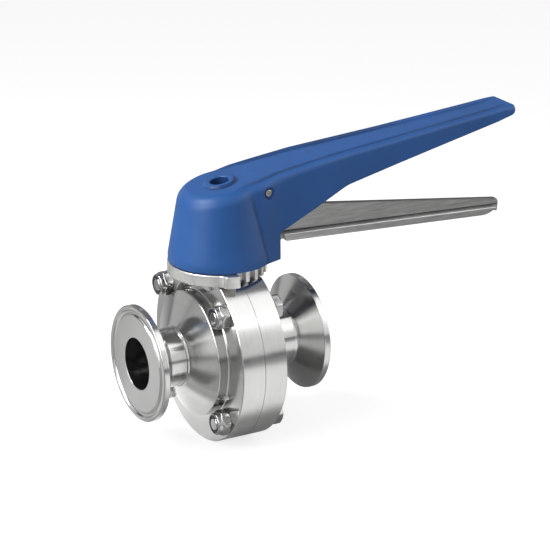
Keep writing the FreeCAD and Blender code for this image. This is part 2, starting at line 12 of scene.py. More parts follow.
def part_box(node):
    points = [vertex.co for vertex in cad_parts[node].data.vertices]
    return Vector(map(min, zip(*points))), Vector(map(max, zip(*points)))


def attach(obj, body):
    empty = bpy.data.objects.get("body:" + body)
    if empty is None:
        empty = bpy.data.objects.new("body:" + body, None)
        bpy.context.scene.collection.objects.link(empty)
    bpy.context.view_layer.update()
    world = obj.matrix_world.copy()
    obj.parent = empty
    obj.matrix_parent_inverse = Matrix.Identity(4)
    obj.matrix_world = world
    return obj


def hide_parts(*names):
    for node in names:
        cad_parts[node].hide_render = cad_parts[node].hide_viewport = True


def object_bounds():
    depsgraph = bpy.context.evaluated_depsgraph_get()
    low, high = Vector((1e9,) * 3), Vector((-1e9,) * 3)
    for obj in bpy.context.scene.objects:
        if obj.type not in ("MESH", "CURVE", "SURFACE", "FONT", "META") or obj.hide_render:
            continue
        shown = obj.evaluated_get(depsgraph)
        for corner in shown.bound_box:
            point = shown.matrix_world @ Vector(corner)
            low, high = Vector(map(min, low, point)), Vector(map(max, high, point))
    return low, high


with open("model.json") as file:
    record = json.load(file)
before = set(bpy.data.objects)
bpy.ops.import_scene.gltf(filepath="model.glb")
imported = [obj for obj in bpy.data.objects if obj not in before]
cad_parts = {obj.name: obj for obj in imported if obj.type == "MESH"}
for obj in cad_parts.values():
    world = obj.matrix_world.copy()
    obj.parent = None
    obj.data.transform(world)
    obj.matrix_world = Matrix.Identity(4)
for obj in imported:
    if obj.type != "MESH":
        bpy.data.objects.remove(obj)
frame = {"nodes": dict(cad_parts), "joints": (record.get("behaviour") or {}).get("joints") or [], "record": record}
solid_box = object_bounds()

bl_info = {
    "name": "Sanitary butterfly valve",
    "version": (1, 0, 0),
    "blender": (4, 5, 0),
    "location": "View3D > Sidebar > Valve",
    "description": "Dresses the valve's solids with rounded metal and plastic surfaces",
    "category": "Add Mesh",
}

# The surfaces are worked out in millimetres about the valve's centre, where the pipe axis crosses
# the stem axis. The part's own origin is the inlet ferrule's face, this far back along X.
MM = 0.001
FACE_TO_CENTRE = frame["joints"][0]["pos_m"][0] / MM
PIVOT = np.array(frame["joints"][1]["pos_m"]) / MM - np.array([FACE_TO_CENTRE, 0, 0])
FLANGE_R = -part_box("inlet_body")[0].z / MM
TOP_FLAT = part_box("inlet_body")[1].z / MM
PLATE_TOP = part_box("index_plate")[1].z / MM
HOUSING_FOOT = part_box("handle_housing")[0].z / MM
WASHER_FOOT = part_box("screw_washer")[0].z / MM
PIN_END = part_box("pivot_pin")[1].y / MM

BORE_R = 11.3       # pipe bore
BOLT_INSET = 5.6    # from the flange's rim to the bolt circle
EAR_CIRCLE = 33.9   # from the pipe axis to the index plate's ear
SUPPORT = 0.06      # from an arc's end to its support point
ARC_ROOM = 0.45     # share of a run that the arc at its end may take
STRAIGHT = 89       # half angle, in degrees, past which a corner isn't rounded
SHARP = 38          # angle between faces, in degrees, past which an edge is sharp
MERGE = 2e-6        # points nearer than this, in metres, become one


# Paths and surfaces

def unit(vectors):
    """Vectors over their own lengths."""
    return vectors / np.maximum(np.linalg.norm(vectors, axis=-1, keepdims=True), 1e-9)


def rounded_path(corners, arc_points=5, closed=True):
    """Path through corners (u, v, radius). A corner with a radius becomes an arc that is tangent to
    both runs: centre + r (e1 cos t + e2 sin t). Each arc gets a support point just outside each
    end, so that the shading of the flat runs stays flat."""
    corners = np.asarray(corners, float)
    count = len(corners)
    pieces = []
    for i, (u, v, radius) in enumerate(corners):
        here = np.array([u, v])
        back = corners[i - 1, :2] - here
        on = corners[(i + 1) % count, :2] - here
        room = ARC_ROOM * min(np.linalg.norm(back), np.linalg.norm(on))
        back, on = unit(back), unit(on)
        half = np.arccos(np.clip(back @ on, -1, 1)) / 2
        end = not closed and i in (0, count - 1)
        if radius <= 0 or end or half > math.radians(STRAIGHT):
            pieces.append(here[None])
            continue
        reach = min(radius / math.tan(half), room)
        radius = reach * math.tan(half)
        start = here + back * reach
        centre = here + unit(back + on) * radius / math.sin(half)
        turn = np.linspace(0, math.pi - 2 * half, arc_points)[:, None]
        arc = centre + np.cos(turn) * (start - centre) - np.sin(turn) * back * radius
        pieces.append(np.vstack([start + back * SUPPORT, arc, here + on * (reach + SUPPORT)]))
    return np.vstack(pieces)


def corner_at(radius, azimuth, rounding=0):
    """Corner at a radius and an azimuth in degrees about the origin."""
    turn = math.radians(azimuth)
    return radius * math.cos(turn), radius * math.sin(turn), rounding


def arc_corners(radius, start, end, step=2.0):
    """Corners without rounding along an arc about the origin, from one azimuth to another."""
    count = max(2, int(abs(end - start) / step) + 1)
    return [corner_at(radius, azimuth) for azimuth in np.linspace(start, end, count)]


def circle(u, v, radius, step):
    """Points round a circle, a step of degrees apart."""
    t = np.radians(np.arange(0, 360, step))
    return np.stack([u + radius * np.cos(t), v + radius * np.sin(t)], -1)


def surface(points, wrap_rows=False, wrap_columns=False):
    """Points and faces of a grid, rows by columns by 3, with quads between its neighbours."""
    rows, columns = points.shape[:2]
    a, b = np.meshgrid(np.arange(rows if wrap_rows else rows - 1),
                       np.arange(columns if wrap_columns else columns - 1), indexing="ij")
    a2, b2 = (a + 1) % rows, (b + 1) % columns
    quads = np.stack([a * columns + b, a2 * columns + b, a2 * columns + b2, a * columns + b2], -1)
    return points.reshape(-1, 3), [quads.reshape(-1, 4)]


def joined(forms):
    """One form from several, each its points and a list of its faces."""
    points, faces, first = [], [], 0
    for some_points, some_faces in forms:
        points.append(some_points)
        faces += [some + first for some in some_faces]
        first += len(some_points)
    return np.vstack(points), faces


def turned(profile, angles):
    """Surface of revolution of a profile (along, radius) about X: across it r sin t and r cos t."""
    along, r = profile.T[..., None]
    return np.stack([along + 0 * angles, r * np.sin(angles), r * np.cos(angles)], -1)


def ring_angles(count, extra=()):
    """Even angles round a full turn, with some exact ones added."""
    angles = np.linspace(0, 2 * math.pi, count, endpoint=False)
    return np.unique(np.round(np.concatenate([angles, np.mod(extra, 2 * math.pi)]), 9))


# Which of a plate's u, v and w lie along X, Y and Z
LEVEL, UPRIGHT, ACROSS = (0, 1, 2), (0, 2, 1), (2, 0, 1)


def plate(outline, low, high, edge, axes, holes=()):
    """Plate between two levels w. Its rim is the outline (u, v) moved inwards by e - e cos t while
    the level runs e sin t, so every edge is a quarter round of radius e. Both faces are cut into
    triangles between the outline and the holes."""
    quarter = np.linspace(0, math.pi / 2, 4)
    inset = edge - edge * np.cos(quarter)
    level = edge * np.sin(quarter)
    insets = np.concatenate([[edge + SUPPORT], inset[::-1], [0, 0], inset, [edge + SUPPORT]])
    levels = np.concatenate([[low], low + edge - level[::-1],
                             [low + edge + SUPPORT, high - edge - SUPPORT],
                             high - edge + level, [high]])
    walls, low_rim, high_rim, first = [], [], [], 0
    for loop, sign in [(outline, 1)] + [(hole, -1) for hole in holes]:
        ahead = unit(np.roll(loop, -1, 0) - loop)
        along = unit(ahead + np.roll(ahead, 1, 0))
        area = np.sum(loop[:, 0] * np.roll(loop[:, 1], -1) - loop[:, 1] * np.roll(loop[:, 0], -1))
        inward = np.stack([-along[:, 1], along[:, 0]], 1) * np.sign(area) * sign
        rings = loop[None] + insets[:, None, None] * inward[None]
        w = np.broadcast_to(levels[:, None, None], rings.shape[:2] + (1,))
        walls.append(surface(np.concatenate([rings, w], -1)[..., axes], wrap_columns=True))
        low_rim.append(np.arange(len(loop)) + first)
        high_rim.append(low_rim[-1] + (len(levels) - 1) * len(loop))
        first += len(levels) * len(loop)
    points, faces = joined(walls)
    loops = [[Vector((u, v, 0)) for u, v in loop] for loop in (outline, *holes)]
    triangles = np.array(tessellate_polygon(loops))
    return points, faces + [np.concatenate(rim)[triangles] for rim in (low_rim, high_rim)]


def add_object(name, data):
    """Blender object of a mesh, lamp or camera, in the scene."""
    made = bpy.data.objects.new(name, data)
    bpy.context.scene.collection.objects.link(made)
    return made


def add_form(name, points, faces):
    """Mesh object from points in metres and a list of arrays of faces."""
    mesh = bpy.data.meshes.new(name)
    mesh.from_pydata(points.tolist(), [], [face for some in faces for face in some.tolist()])
    return add_object(name, mesh)


def piece(name, form, body, slot, settings, *solids, sharp=SHARP, shade=None):
    """Piece from a form in millimetres: merged at its seams and poles, facing outwards, riding on
    a body, in its slot's finish and standing for some of the solids. shade is painted shade, a
    number at each point that darkens the finish."""
    points, faces = form
    made = add_form(name, (points + np.array([FACE_TO_CENTRE, 0, 0])) * MM, faces)
    mesh = made.data
    # The shade attribute carries painted shade for the finish
    if shade is not None:
        mesh.attributes.new("shade", "FLOAT", "POINT").data.foreach_set(
            "value", shade.astype(np.float32))
    mesh.validate()
    shape = bmesh.new()
    shape.from_mesh(mesh)
    bmesh.ops.remove_doubles(shape, verts=shape.verts, dist=MERGE)
    bmesh.ops.recalc_face_normals(shape, faces=shape.faces)
    shape.to_mesh(mesh)
    shape.free()
    mesh.shade_smooth()
    mesh.set_sharp_from_angle(angle=math.radians(sharp))
    mesh.materials.append(finish_of(slot, settings))
    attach(made, body)
    if solids:
        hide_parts(*solids)


def mirrored(form):
    """The same form on the inlet side."""
    points, faces = form
    return points * np.array([-1, 1, 1]), faces


def smooth(value):
    """Step from 0 to 1 that starts and ends level: 3 t^2 - 2 t^3."""
    t = np.clip(value, 0, 1)
    return t * t * (3 - 2 * t)


# Body

def body_surface(settings):
    """Body half: flange, stepped hub, cone and bore turned about the pipe, then pressed flat on
    top: z = min(z, height of the flat). Corners: along, radius, rounding."""
    radius, thick = settings.flange_radius / MM, settings.flange_thickness / MM
    bevel, edge = 0.2, 0.35
    profile = rounded_path([
        (0.02, 17.6, 0), (0.02, radius - bevel, 0), (0.05, radius - 0.04, 0.02),
        (0.12, radius, 0.03), (thick - edge, radius, 0.25), (thick, radius - edge, 0.25),
        (thick, 27.3, 0.7), (15.45, 27.3, 0.55), (22.1, 13.55, 1.2), (22.2, 13.35, 0.25),
        (22.9, 13.3, 0.25), (22.92, 12.6, 0), (22.9, BORE_R, 0), (12.4, BORE_R, 0),
        (12.4, 11.6, 0), (7.0, 11.6, 0), (7.0, 15.5, 0), (8.2, 15.5, 0), (8.2, 17.5, 0)])
    ends = [math.acos(TOP_FLAT / r) for r in (radius, radius - bevel, radius - edge)]
    points = turned(profile, ring_angles(360, ends + [-a for a in ends]))
    points[..., 2] = np.minimum(points[..., 2], TOP_FLAT)
    return surface(points, wrap_rows=True, wrap_columns=True)


def ferrule_surface():
    """Clamp ferrule and neck turned about the pipe: tube, back cone, rim, gasket groove and land.
    The groove is a half ellipse, 1.0 deep and 1.1 to each side."""
    face, rim = FACE_TO_CENTRE, 25.25
    groove = [(face - 1.0 * math.sqrt(1 - g * g), 22.2 + 1.1 * g, 0)
              for g in np.linspace(0.75, -0.75, 7)]
    profile = rounded_path(
        [(22.9, BORE_R, 0), (22.9, 12.7, 0), (30.85, 12.7, 1.4), (37.55, rim, 0.5),
         (face, rim, 0.55), (face, 23.75, 0), (face, 23.42, 0.1)] + groove +
        [(face, 20.98, 0.1), (face, 20.7, 0), (face, BORE_R, 0.2)])
    return surface(turned(profile, ring_angles(300)), wrap_rows=True, wrap_columns=True)


# Index plate

def index_outline():
    """Level outline of the index plate: round rim, two stop lugs and the quadrant, whose seven
    notches are 15 degrees apart. Radii: teeth, notch roots, rim and lugs; half a notch's width."""
    teeth, root, rim, lug, half = 20.0, 16.8, 22.5, 25.0, 1.55
    mouth = math.sqrt(teeth ** 2 - half ** 2)
    corners = [corner_at(teeth, -98, 0.6)]
    for number in range(7):
        middle = -90 + 15 * number
        if number:
            corners.append(corner_at(teeth, middle - 7.5))
        c, s = math.cos(math.radians(middle)), math.sin(math.radians(middle))
        corners += [(a * c - b * s, a * s + b * c, 0.5)
                    for a, b in ((mouth, -half), (root, -half), (root, half), (mouth, half))]
    corners += [corner_at(teeth, 8, 0.6), corner_at(lug, 8, 0.7)] + arc_corners(lug, 12, 18, 1.5)
    corners += [corner_at(lug, 22.5, 1.8), corner_at(rim, 26.5, 4.0)] + arc_corners(rim, 34, 236)
    corners += [corner_at(rim, 243.5, 4.0), corner_at(lug, 247.5, 1.8)]
    corners += arc_corners(lug, 252, 258, 1.5) + [corner_at(lug, 262, 0.7)]
    return rounded_path(corners, arc_points=4)


def index_surface(settings):
    """Index plate with the stem's hole, its two legs over the flange faces and one bolt's ear."""
    thick, bolt, ear = settings.flange_thickness / MM, EAR_CIRCLE * math.sqrt(0.5), 5.6
    foot, wide, top, leg, edge = 31.2, 12, PLATE_TOP - 0.4, 1.5, 0.3
    ear_arc = [(bolt + ear * math.cos(a), bolt + ear * math.sin(a), 0)
               for a in np.radians(np.arange(-150, 100, 12))]
    low = [(-wide, foot, 0.8)]
    high = [(wide, top, 0.5), (-wide, top, 0.5)]
    front = low + [(9.5, foot, 0.8)] + ear_arc + [(16.5, PLATE_TOP - 1.5, 0.8)] + high
    back = low + [(wide, foot, 0.8)] + high
    return joined([
        plate(index_outline(), TOP_FLAT, PLATE_TOP, settings.casting_edge / MM, LEVEL,
              holes=[circle(0, 0, 4.9, 10)]),
        plate(rounded_path(front), -thick - leg, -thick, edge, ACROSS),
        plate(rounded_path(back), thick, thick + leg, edge, ACROSS)])


# Bolts and nuts

def hexagonal(rows, flats=10.0, power=48):
    """Prism about X. Its radius is the smaller of the row's and a hexagon's with soft corners,
    flats / 2 over the 48-norm of the face cosines. Rows: along, radius, 1 for a hexagon."""
    angles = ring_angles(96)
    faces = np.radians(np.arange(6) * 60)[:, None]
    cosines = np.maximum(np.cos(angles - faces), 0)
    hexagon = flats / 2 / np.sum(cosines ** power, 0) ** (1 / power)
    along, r, six = np.array(rows).T[..., None]
    radius = np.where(six > 0, np.minimum(r, hexagon), r)
    return np.stack([along + 0 * angles, radius * np.cos(angles), radius * np.sin(angles)], -1)


def nut_surface():
    """Lock nut facing along -X: hexagon with turned corners, then the round collar of its ring."""
    rows = [(-0.2, 3.05, 0), (0, 3.3, 0), (0, 4.9, 1), (-0.08, 5.05, 1), (-0.5, 9, 1),
            (-3.0, 9, 1), (-3.55, 5.45, 1), (-3.85, 5.05, 1), (-3.95, 4.95, 1), (-4.0, 4.85, 1),
            (-4.05, 4.78, 0), (-4.2, 4.75, 0), (-5.2, 4.75, 0), (-5.45, 4.72, 0),
            (-5.75, 4.55, 0), (-5.95, 4.3, 0), (-6.0, 4.1, 0), (-5.97, 4.0, 0), (-5.85, 3.95, 0),
            (-4.35, 3.95, 0), (-4.3, 3.9, 0), (-4.3, 3.1, 0), (-4.2, 3.05, 0)]
    return surface(hexagonal(rows), wrap_rows=True, wrap_columns=True)


def bolt_surface(end, head):
    """Hexagon bolt along X from -end to its head: bevelled end, four shallow thread rings, shank,
    and a head with turned-off corners."""
    shank, root = 2.98, 2.86
    threads = [(-end + 0.75 + 0.5 * number + ahead, radius, 0) for number in range(4)
               for ahead, radius in ((0, root), (0.12, shank), (0.3, shank), (0.42, root))]
    rows = [(-end, 0, 0), (-end, 2.2, 0), (-end, 2.35, 0), (-end + 0.06, 2.45, 0),
            (-end + 0.5, 2.8, 0)] + threads
    rows += [(-10, shank, 0), (head, shank, 0), (head, 4.8, 1), (head + 0.3, 9, 1),
             (head + 3.0, 9, 1), (head + 3.6, 5.4, 1), (head + 3.92, 4.9, 1), (head + 4.0, 4.6, 0),
             (head + 4.0, 3.2, 0), (head + 3.85, 3.0, 0), (head + 3.85, 0, 0)]
    return surface(hexagonal(rows), wrap_columns=True)


# Handle

# Head and arm from the back to the tip: place along X, height of the rim, half width below the
# shoulder, shoulder radius, side draft, and depth of the sunk top panel
ARM_ROWS = np.array([
    (-24.0, 69.9, 15.9, 4.4, 0.062, 0.0),
    (-2.0, 74.0, 15.9, 4.4, 0.062, 0.0),
    (4.0, 75.2, 16.2, 4.3, 0.062, 0.15),
    (12.0, 76.7, 16.5, 4.1, 0.060, 0.65),
    (21.5, 78.4, 14.8, 3.8, 0.012, 0.85),
    (40.0, 80.6, 13.8, 2.8, 0.030, 0.90),
    (58.0, 82.1, 12.5, 2.4, 0.030, 0.90),
    (83.0, 84.1, 11.2, 2.2, 0.030, 0.90),
    (108.0, 86.3, 10.3, 2.0, 0.030, 0.90),
    (130.0, 88.3, 9.6, 2.0, 0.030, 0.90),
    (138.0, 89.1, 9.3, 2.0, 0.030, 0.85),
    (142.5, 89.5, 9.2, 2.0, 0.030, 0.10),
    (150.0, 90.2, 9.0, 2.0, 0.030, 0.00),
])
TIP_X = 145.6       # the arm's tip
TIP_CORNER = 2.7    # radius of the tip's corners in plan
TIP_EDGE = 2.6      # radius of its upper edge
TIP_BASE = 136.0    # where the rays that fan round the tip start
CONE_R = 22.2       # cone about the stem, at its foot
CONE_BAND = 2.8     # height of its upright band
CONE_DRAFT = 0.1726
CONE_COS = 0.985    # cosine of that draft
TOP_COS = 0.982     # cosine of the top's slope
BLOCK_END = 21.0    # end of the block below the arm's root
SLOT_START = 12.2   # where the slot for the trigger plate begins
BOSS_REACH = 8.4    # ring where the rows about the screw hole take over
BOSS_R = 6.9        # low boss about the screw hole
BOSS_HEIGHT = 0.9
HOLE_R = 4.05       # screw hole
SHELL = 3.0         # wall of the block
ARM_SHELL = 2.6     # wall of the arm
HALVINGS = 26       # steps of the search along a ray


def arm_values(x):
    """The arm's row at any place along X, straight between rows and averaged over 5 mm."""
    table_x = np.arange(-30, 156, 0.5)
    window = np.hanning(11)[1:-1]
    window /= window.sum()
    values = []
    for column in range(1, 6):
        line = np.interp(table_x, ARM_ROWS[:, 0], ARM_ROWS[:, column])
        padded = np.pad(line, 4, mode="edge")
        values.append(np.interp(x, table_x, np.convolve(padded, window, mode="valid")))
    return values


def lower_edge(x):
    """Height of the housing's lower edge: the block's foot, then the root and the underside."""
    under = np.interp(x, [BLOCK_END, BLOCK_END + 0.35, 22.2, 54.3, 55.5, 56.9, 143.0, 150.0],
                      [51.4, 52.35, 52.9, 66.95, 67.35, 67.75, 84.5, 85.9])
    return np.where(x <= BLOCK_END, HOUSING_FOOT, under)


def rounded_and(a, b, radius):
    """Distance to the part that lies inside both a and b, with their edge rounded."""
    u, v = a + radius, b + radius
    return np.minimum(np.maximum(u, v), 0) + np.hypot(np.maximum(u, 0), np.maximum(v, 0)) - radius


def soft_or(a, b, width):
    """Distance to the part inside a or b, whose inner corner is eased over a width."""
    share = np.clip(0.5 + 0.5 * (b - a) / width, 0, 1)
    return b + (a - b) * share - width * share * (1 - share)


def wall_distances(x, y, z):
    """Distances outside the cone about the stem and outside the arm's sides."""
    rim, half, shoulder, draft, _ = arm_values(x)
    cone_r = CONE_R - CONE_DRAFT * np.maximum(z - HOUSING_FOOT - CONE_BAND, 0)
    cone = (np.hypot(x, y) - cone_r) * CONE_COS
    arm = np.abs(y) - half - draft * (rim - shoulder - z)
    return cone, np.maximum(arm, -2 - x)


def wall_distance(x, y, z):
    """Distance outside the side walls: the cone or the arm."""
    cone, arm = wall_distances(x, y, z)
    return soft_or(cone, arm, 0.5)


def side_distance(x, y, z):
    """Distance outside the side walls, ended at the tip with round corners in plan."""
    return rounded_and(wall_distance(x, y, z), x - TIP_X, TIP_CORNER)


def bead_reach(shoulder):
    """How far the bead along the rim reaches in from the side."""
    return 2.0 + 0.12 * shoulder


def valley(x, y):
    """Shape of the top panel: how far it is sunk inside the bead, and the painted shade in its
    valley. The panel falls within 0.9 mm of the bead's inner edge and then rises a little to a low
    crown."""
    rim, _, shoulder, _, sunk = arm_values(x)
    inside = -wall_distance(x, y, rim - shoulder) - bead_reach(shoulder)
    crown = 0.3 * smooth((inside - 1.0) / 5.0)
    low = (smooth(inside / 0.9) - crown) * sunk
    far = np.where(y > 0, 0.75 - 0.5 * smooth((x - 70) / 40), 1.0)
    # Painted shade in the valley inside the bead, where the bead shades the panel
    shade = smooth((inside + 0.5) / 0.8) * (1 - smooth((inside - 2.1) / 2.2)) * sunk * far * 1.25
    return low, shade


def top_height(x, y):
    """Height of the top: the rim line, less the sunk panel inside the bead, plus the low boss about
    the screw hole and a faint raised field along the arm."""
    rim = arm_values(x)[0]
    boss = BOSS_HEIGHT * smooth((BOSS_R + 0.5 - np.hypot(x, y)) / 1.7)
    field = smooth((x - 47) / 0.7) * smooth((90 - x) / 0.7) * smooth((7.4 - np.abs(y)) / 0.7)
    return rim - valley(x, y)[0] + boss + 0.14 * field


def housing_distance(x, y, z):
    """Distance outside the handle housing, the lower edge left open."""
    _, _, shoulder, _, _ = arm_values(x)
    over = (z - top_height(x, y)) * TOP_COS
    end = smooth((x - 138) / 6)
    return rounded_and(side_distance(x, y, z), over, shoulder * (1 - end) + TIP_EDGE * end)


def surface_along(start, heading, reach):
    """Where rays leave the housing: the crossing between 0 and reach is halved down to a point."""
    low = np.zeros(start.shape[:-1])
    high = np.full(start.shape[:-1], reach)
    for _ in range(HALVINGS):
        middle = (low + high) / 2
        at = start + heading * middle[..., None]
        inside = housing_distance(at[..., 0], at[..., 1], at[..., 2]) < 0
        low, high = np.where(inside, middle, low), np.where(inside, high, middle)
    return start + heading * low[..., None]


def stations():
    """Half sections round the housing: base on the middle line and heading in plan. They run along
    the far side to the tip, round it, back along the near side and round the back of the cone."""
    dense = np.concatenate([
        BOSS_REACH * np.sin(np.linspace(0, math.pi / 2, 26)), [9.4, 10, 10.7, 11.4],
        np.arange(11.9, 19, 0.24), np.arange(19.2, 20.9, 0.6), [20.7, 20.93, BLOCK_END]])
    dense = np.unique(np.round(np.concatenate([dense, [SLOT_START - 0.001, SLOT_START]]), 6))
    after = BLOCK_END + np.array([0.001, 0.12, 0.25, 0.5, 0.9])
    rest = np.concatenate([
        np.arange(22.2, 46, 1.2), np.arange(46.4, 48.4, 0.25), np.arange(49, 89, 1.6),
        np.arange(89.1, 91, 0.25), np.arange(92, 135, 1.8)])
    line = np.concatenate([dense, after, rest])
    swing = np.linspace(math.pi / 2, -math.pi / 2, 61)
    back = np.linspace(-math.pi / 2, -3 * math.pi / 2, 97)[1:-1]
    base = np.concatenate([line, np.full(len(swing), TIP_BASE), line[::-1], np.zeros(len(back))])
    heading = np.concatenate([np.full(len(line), math.pi / 2), swing,
                              np.full(len(line), -math.pi / 2), back])
    return base, heading


def boss_surface(ring):
    """Boss and screw hole, and the painted shade at each point: radial rows inwards from a ring of
    points about the stem, then down the hole. Painted shade lies along the boss's foot, most on one
    side, and in the hole."""
    polar = np.arctan2(ring[:, 1], ring[:, 0])[:, None]
    radii = np.concatenate([np.linspace(BOSS_REACH, 4.9, 17)[1:],
                            HOLE_R + np.array([0.5, 0.36, 0.24, 0.14, 0.06, 0.01])])
    x, y = radii * np.cos(polar), radii * np.sin(polar)
    z = top_height(x, y) - 0.4 * smooth((HOLE_R + 0.6 - radii) / 0.6) ** 2
    boss = np.stack([x, y, z], -1)
    wall_z = np.concatenate([z[:, -1:] - np.array([0.5, 1.5, 4.0, 9.0]),
                             np.full((len(z), 1), WASHER_FOOT - 0.1)], 1)
    hole = np.stack([HOLE_R * np.cos(polar) + 0 * wall_z, HOLE_R * np.sin(polar) + 0 * wall_z,
                     wall_z], -1)
    floor = hole[:, -1:] * np.array([0.0, 0.0, 1.0])
    points = np.concatenate([ring[:, None], boss, hole, floor], 1)
    r = np.hypot(points[..., 0], points[..., 1])
    # Painted shade: a crescent of shadow at the boss's foot, strongest on one side, and dark in the hole
    shadow_side = np.clip(0.55 + 0.6 * np.cos(polar + 1.3), 0, 1)
    foot = 2.0 * smooth((BOSS_R + 1.3 - r) / 0.9) * smooth((r - BOSS_R + 1.3) / 1.2) * shadow_side ** 2
    return surface(points, wrap_rows=True), 0.8 * np.maximum(foot, smooth((HOLE_R + 0.1 - r) / 0.1))


def housing_surface():
    """Housing as a grid of stations by rows, and the painted shade at each point. Outer rows: level
    rays to the side, a fan of rays round the shoulder, upright rays to the top. Inner rows: one wall
    inside, or the solid foot."""
    base, turn = [values[:, None] for values in stations()]
    centre = np.stack([base, 0 * base, 0 * base], -1)
    ahead = np.stack([np.cos(turn), np.sin(turn), 0 * turn], -1)
    up = np.array([0.0, 0.0, 1.0])

    def at(reach, height):
        return centre + ahead * reach[..., None] + up * height[..., None]

    def cast(start, heading):
        return surface_along(start, np.broadcast_to(heading, start.shape), 60.0)

    def reach_of(points):
        return np.sum((points - centre) * ahead, -1)

    probe = cast(at(0 * base, np.maximum(lower_edge(base) + 1.5, 60)), ahead)
    edge_x = base + reach_of(probe) * np.cos(turn)
    low = lower_edge(np.where(np.abs(np.sin(turn)) > 0.999, base, edge_x))
    tip = base > TIP_BASE - 0.1
    rim, _, shoulder, _, _ = arm_values(np.where(tip, edge_x, base))
    back = (base == 0) & (np.abs(np.sin(turn)) < 0.9999)
    rim = np.where(back, arm_values(10 * np.cos(turn))[0], rim)
    corner = bead_reach(shoulder)
    corner = np.where(tip, np.minimum(corner, (rim - low) * 0.45), corner)
    knee = rim - corner - np.where(back, 0.3, 0)
    knee_reach = reach_of(cast(at(0 * base, knee), ahead))

    # Side, with more rows about the pin. Its lower edge is rounded: rows near it move inwards by
    # e - sqrt(e^2 - (e - h)^2)
    tall = knee - low
    steps = np.concatenate([[0.0, 0.004, 0.012, 0.024], np.linspace(0.04, 1, 30)])
    by_pin = ((np.linspace(PIVOT[2] - 3.0, PIVOT[2] + 3.0, 25) - HOUSING_FOOT)
              / (knee - HOUSING_FOOT))
    side_z = np.sort(low + tall * np.concatenate(
        [steps + 0 * tall, np.clip(by_pin, 0.041, 0.999)], 1), 1)
    side = cast(at(0 * side_z, side_z), ahead)
    e = np.where(tip, 0.5 + 1.5 * np.maximum(np.cos(turn), 0), 0.5)
    h = np.clip(side_z - low, 0, e)
    side = side - ahead * (e - np.sqrt(e ** 2 - (e - h) ** 2))[..., None]

    # Shoulder and top, whose rows near the stem end on a ring about it
    fan = np.linspace(0, math.pi / 2, 15)[1:-1, None]
    spread = ahead * np.cos(fan) + up * np.sin(fan)
    bend = cast(np.broadcast_to(at(knee_reach - corner, knee), spread.shape), spread)
    near_stem = (base < BOSS_REACH - 1e-6) & ~tip
    inner = np.where(near_stem, np.sqrt(np.maximum(BOSS_REACH ** 2 - base ** 2, 0)), 0)
    close = knee_reach - corner - np.arange(0, 2.7, 0.2)
    last = close[:, -1:]
    top_reach = np.concatenate([close, last + (inner - last) * np.linspace(0, 1, 15)[1:]], 1)
    top = cast(at(top_reach, rim - 3.0), up)

    # Round recess for the pin's end, with painted shade inside it
    x, y, z = side[..., 0], side[..., 1], side[..., 2]
    off = np.hypot(x - PIVOT[0], z - PIVOT[2])
    over = np.maximum(np.abs(y) - (PIN_END - 0.45), 0) * (np.abs(y) > 10)
    within = smooth((2.75 - off) / 0.3)
    side = side - ahead * (over * within)[..., None]
    # Painted shade in the recess about the pin
    recess_shade = within * smooth((off - 1.4) / 0.2) * smooth(over / 0.15)

    # Painted shade along the crease between the cone and the arm, as a sharp inner corner would be shaded
    cone, arm = wall_distances(side[..., 0], side[..., 1], side[..., 2])
    painted_shade = (smooth(1.2 - np.abs(cone - arm) / 0.5) * smooth((0.98 - (side_z - low) / tall) / 0.25)
              * (side[..., 0] > 2))

    # Inner rows: a share of the height, walls inwards and a share of the reach
    hollow = base >= SLOT_START
    wall = np.where(base < BLOCK_END, SHELL, ARM_SHELL)
    foot_reach = reach_of(side[:, :1])
    roof = rim - arm_values(base)[4] - 0.8 * wall
    rise = np.array([0, 0, 0.25, 0.5, 0.75, 0.94, 1.0, 1.0, 1.0])
    inward = np.array([0.4, 1.0, 1.0, 1.0, 1.0, 1.0, 1.25, 1.0, 1.0])
    narrow = np.array([1, 1, 1, 1, 1, 1, 1, 0.5, 0.0])
    shrink = foot_reach + (knee_reach - foot_reach) * rise - wall * inward
    closed = (foot_reach - wall * 0.4) * np.linspace(1, 0, 9)
    inside = at(np.where(hollow, np.maximum(shrink, 0) * narrow, closed),
                np.where(hollow, low + (roof - low) * rise, low))
    from_stem = np.hypot(inside[..., 0], inside[..., 1])
    inside[..., 2] += np.where(hollow, 0, 1.2 * smooth((10.6 - from_stem) / 0.4))

    rows = np.concatenate([inside[:, ::-1], side, bend, top], 1)
    # Painted shade: in the top panel's valley, and in the pin's recess and along the crease on the side; none on
    # the inner rows
    shade = valley(rows[..., 0], rows[..., 1])[1]
    first, last = inside.shape[1], inside.shape[1] + side.shape[1]
    shade[:, :first] = 0
    shade[:, first:last] = np.maximum(0.7 * recess_shade, 0.75 * painted_shade)

    # The ring about the stem, from the near side round the back to the far side
    order, half = np.flatnonzero(near_stem), len(base) // 2
    far_end = np.flatnonzero(np.isclose(base, BOSS_REACH) & (turn > 0))[:1]
    order = np.concatenate([order[order >= half], order[order < half], far_end])
    # The boss and the hole come with their own painted shade
    boss, foot = boss_surface(top[order, -1])
    points, faces = joined([surface(rows, wrap_rows=True), boss])
    return points, faces, np.concatenate([shade.ravel(), foot.ravel()])


def rib_surfaces():
    """Cross ribs inside the arm, each a thin plate across it with a rounded lower edge."""
    found = []
    for x in (64.0, 86.0, 108.0, 128.0):
        rim, half, _, _, sunk = arm_values(x)
        low, high = lower_edge(np.array(x)) + 5.5, rim - sunk - 1.4
        width = half - 1.6
        outline = rounded_path([(-width, low, 0.6), (width, low, 0.6), (width - 0.3, high, 0.2),
                                (-width + 0.3, high, 0.2)])
        found.append(plate(outline, x, x + 1.6, 0.35, ACROSS))
    return found


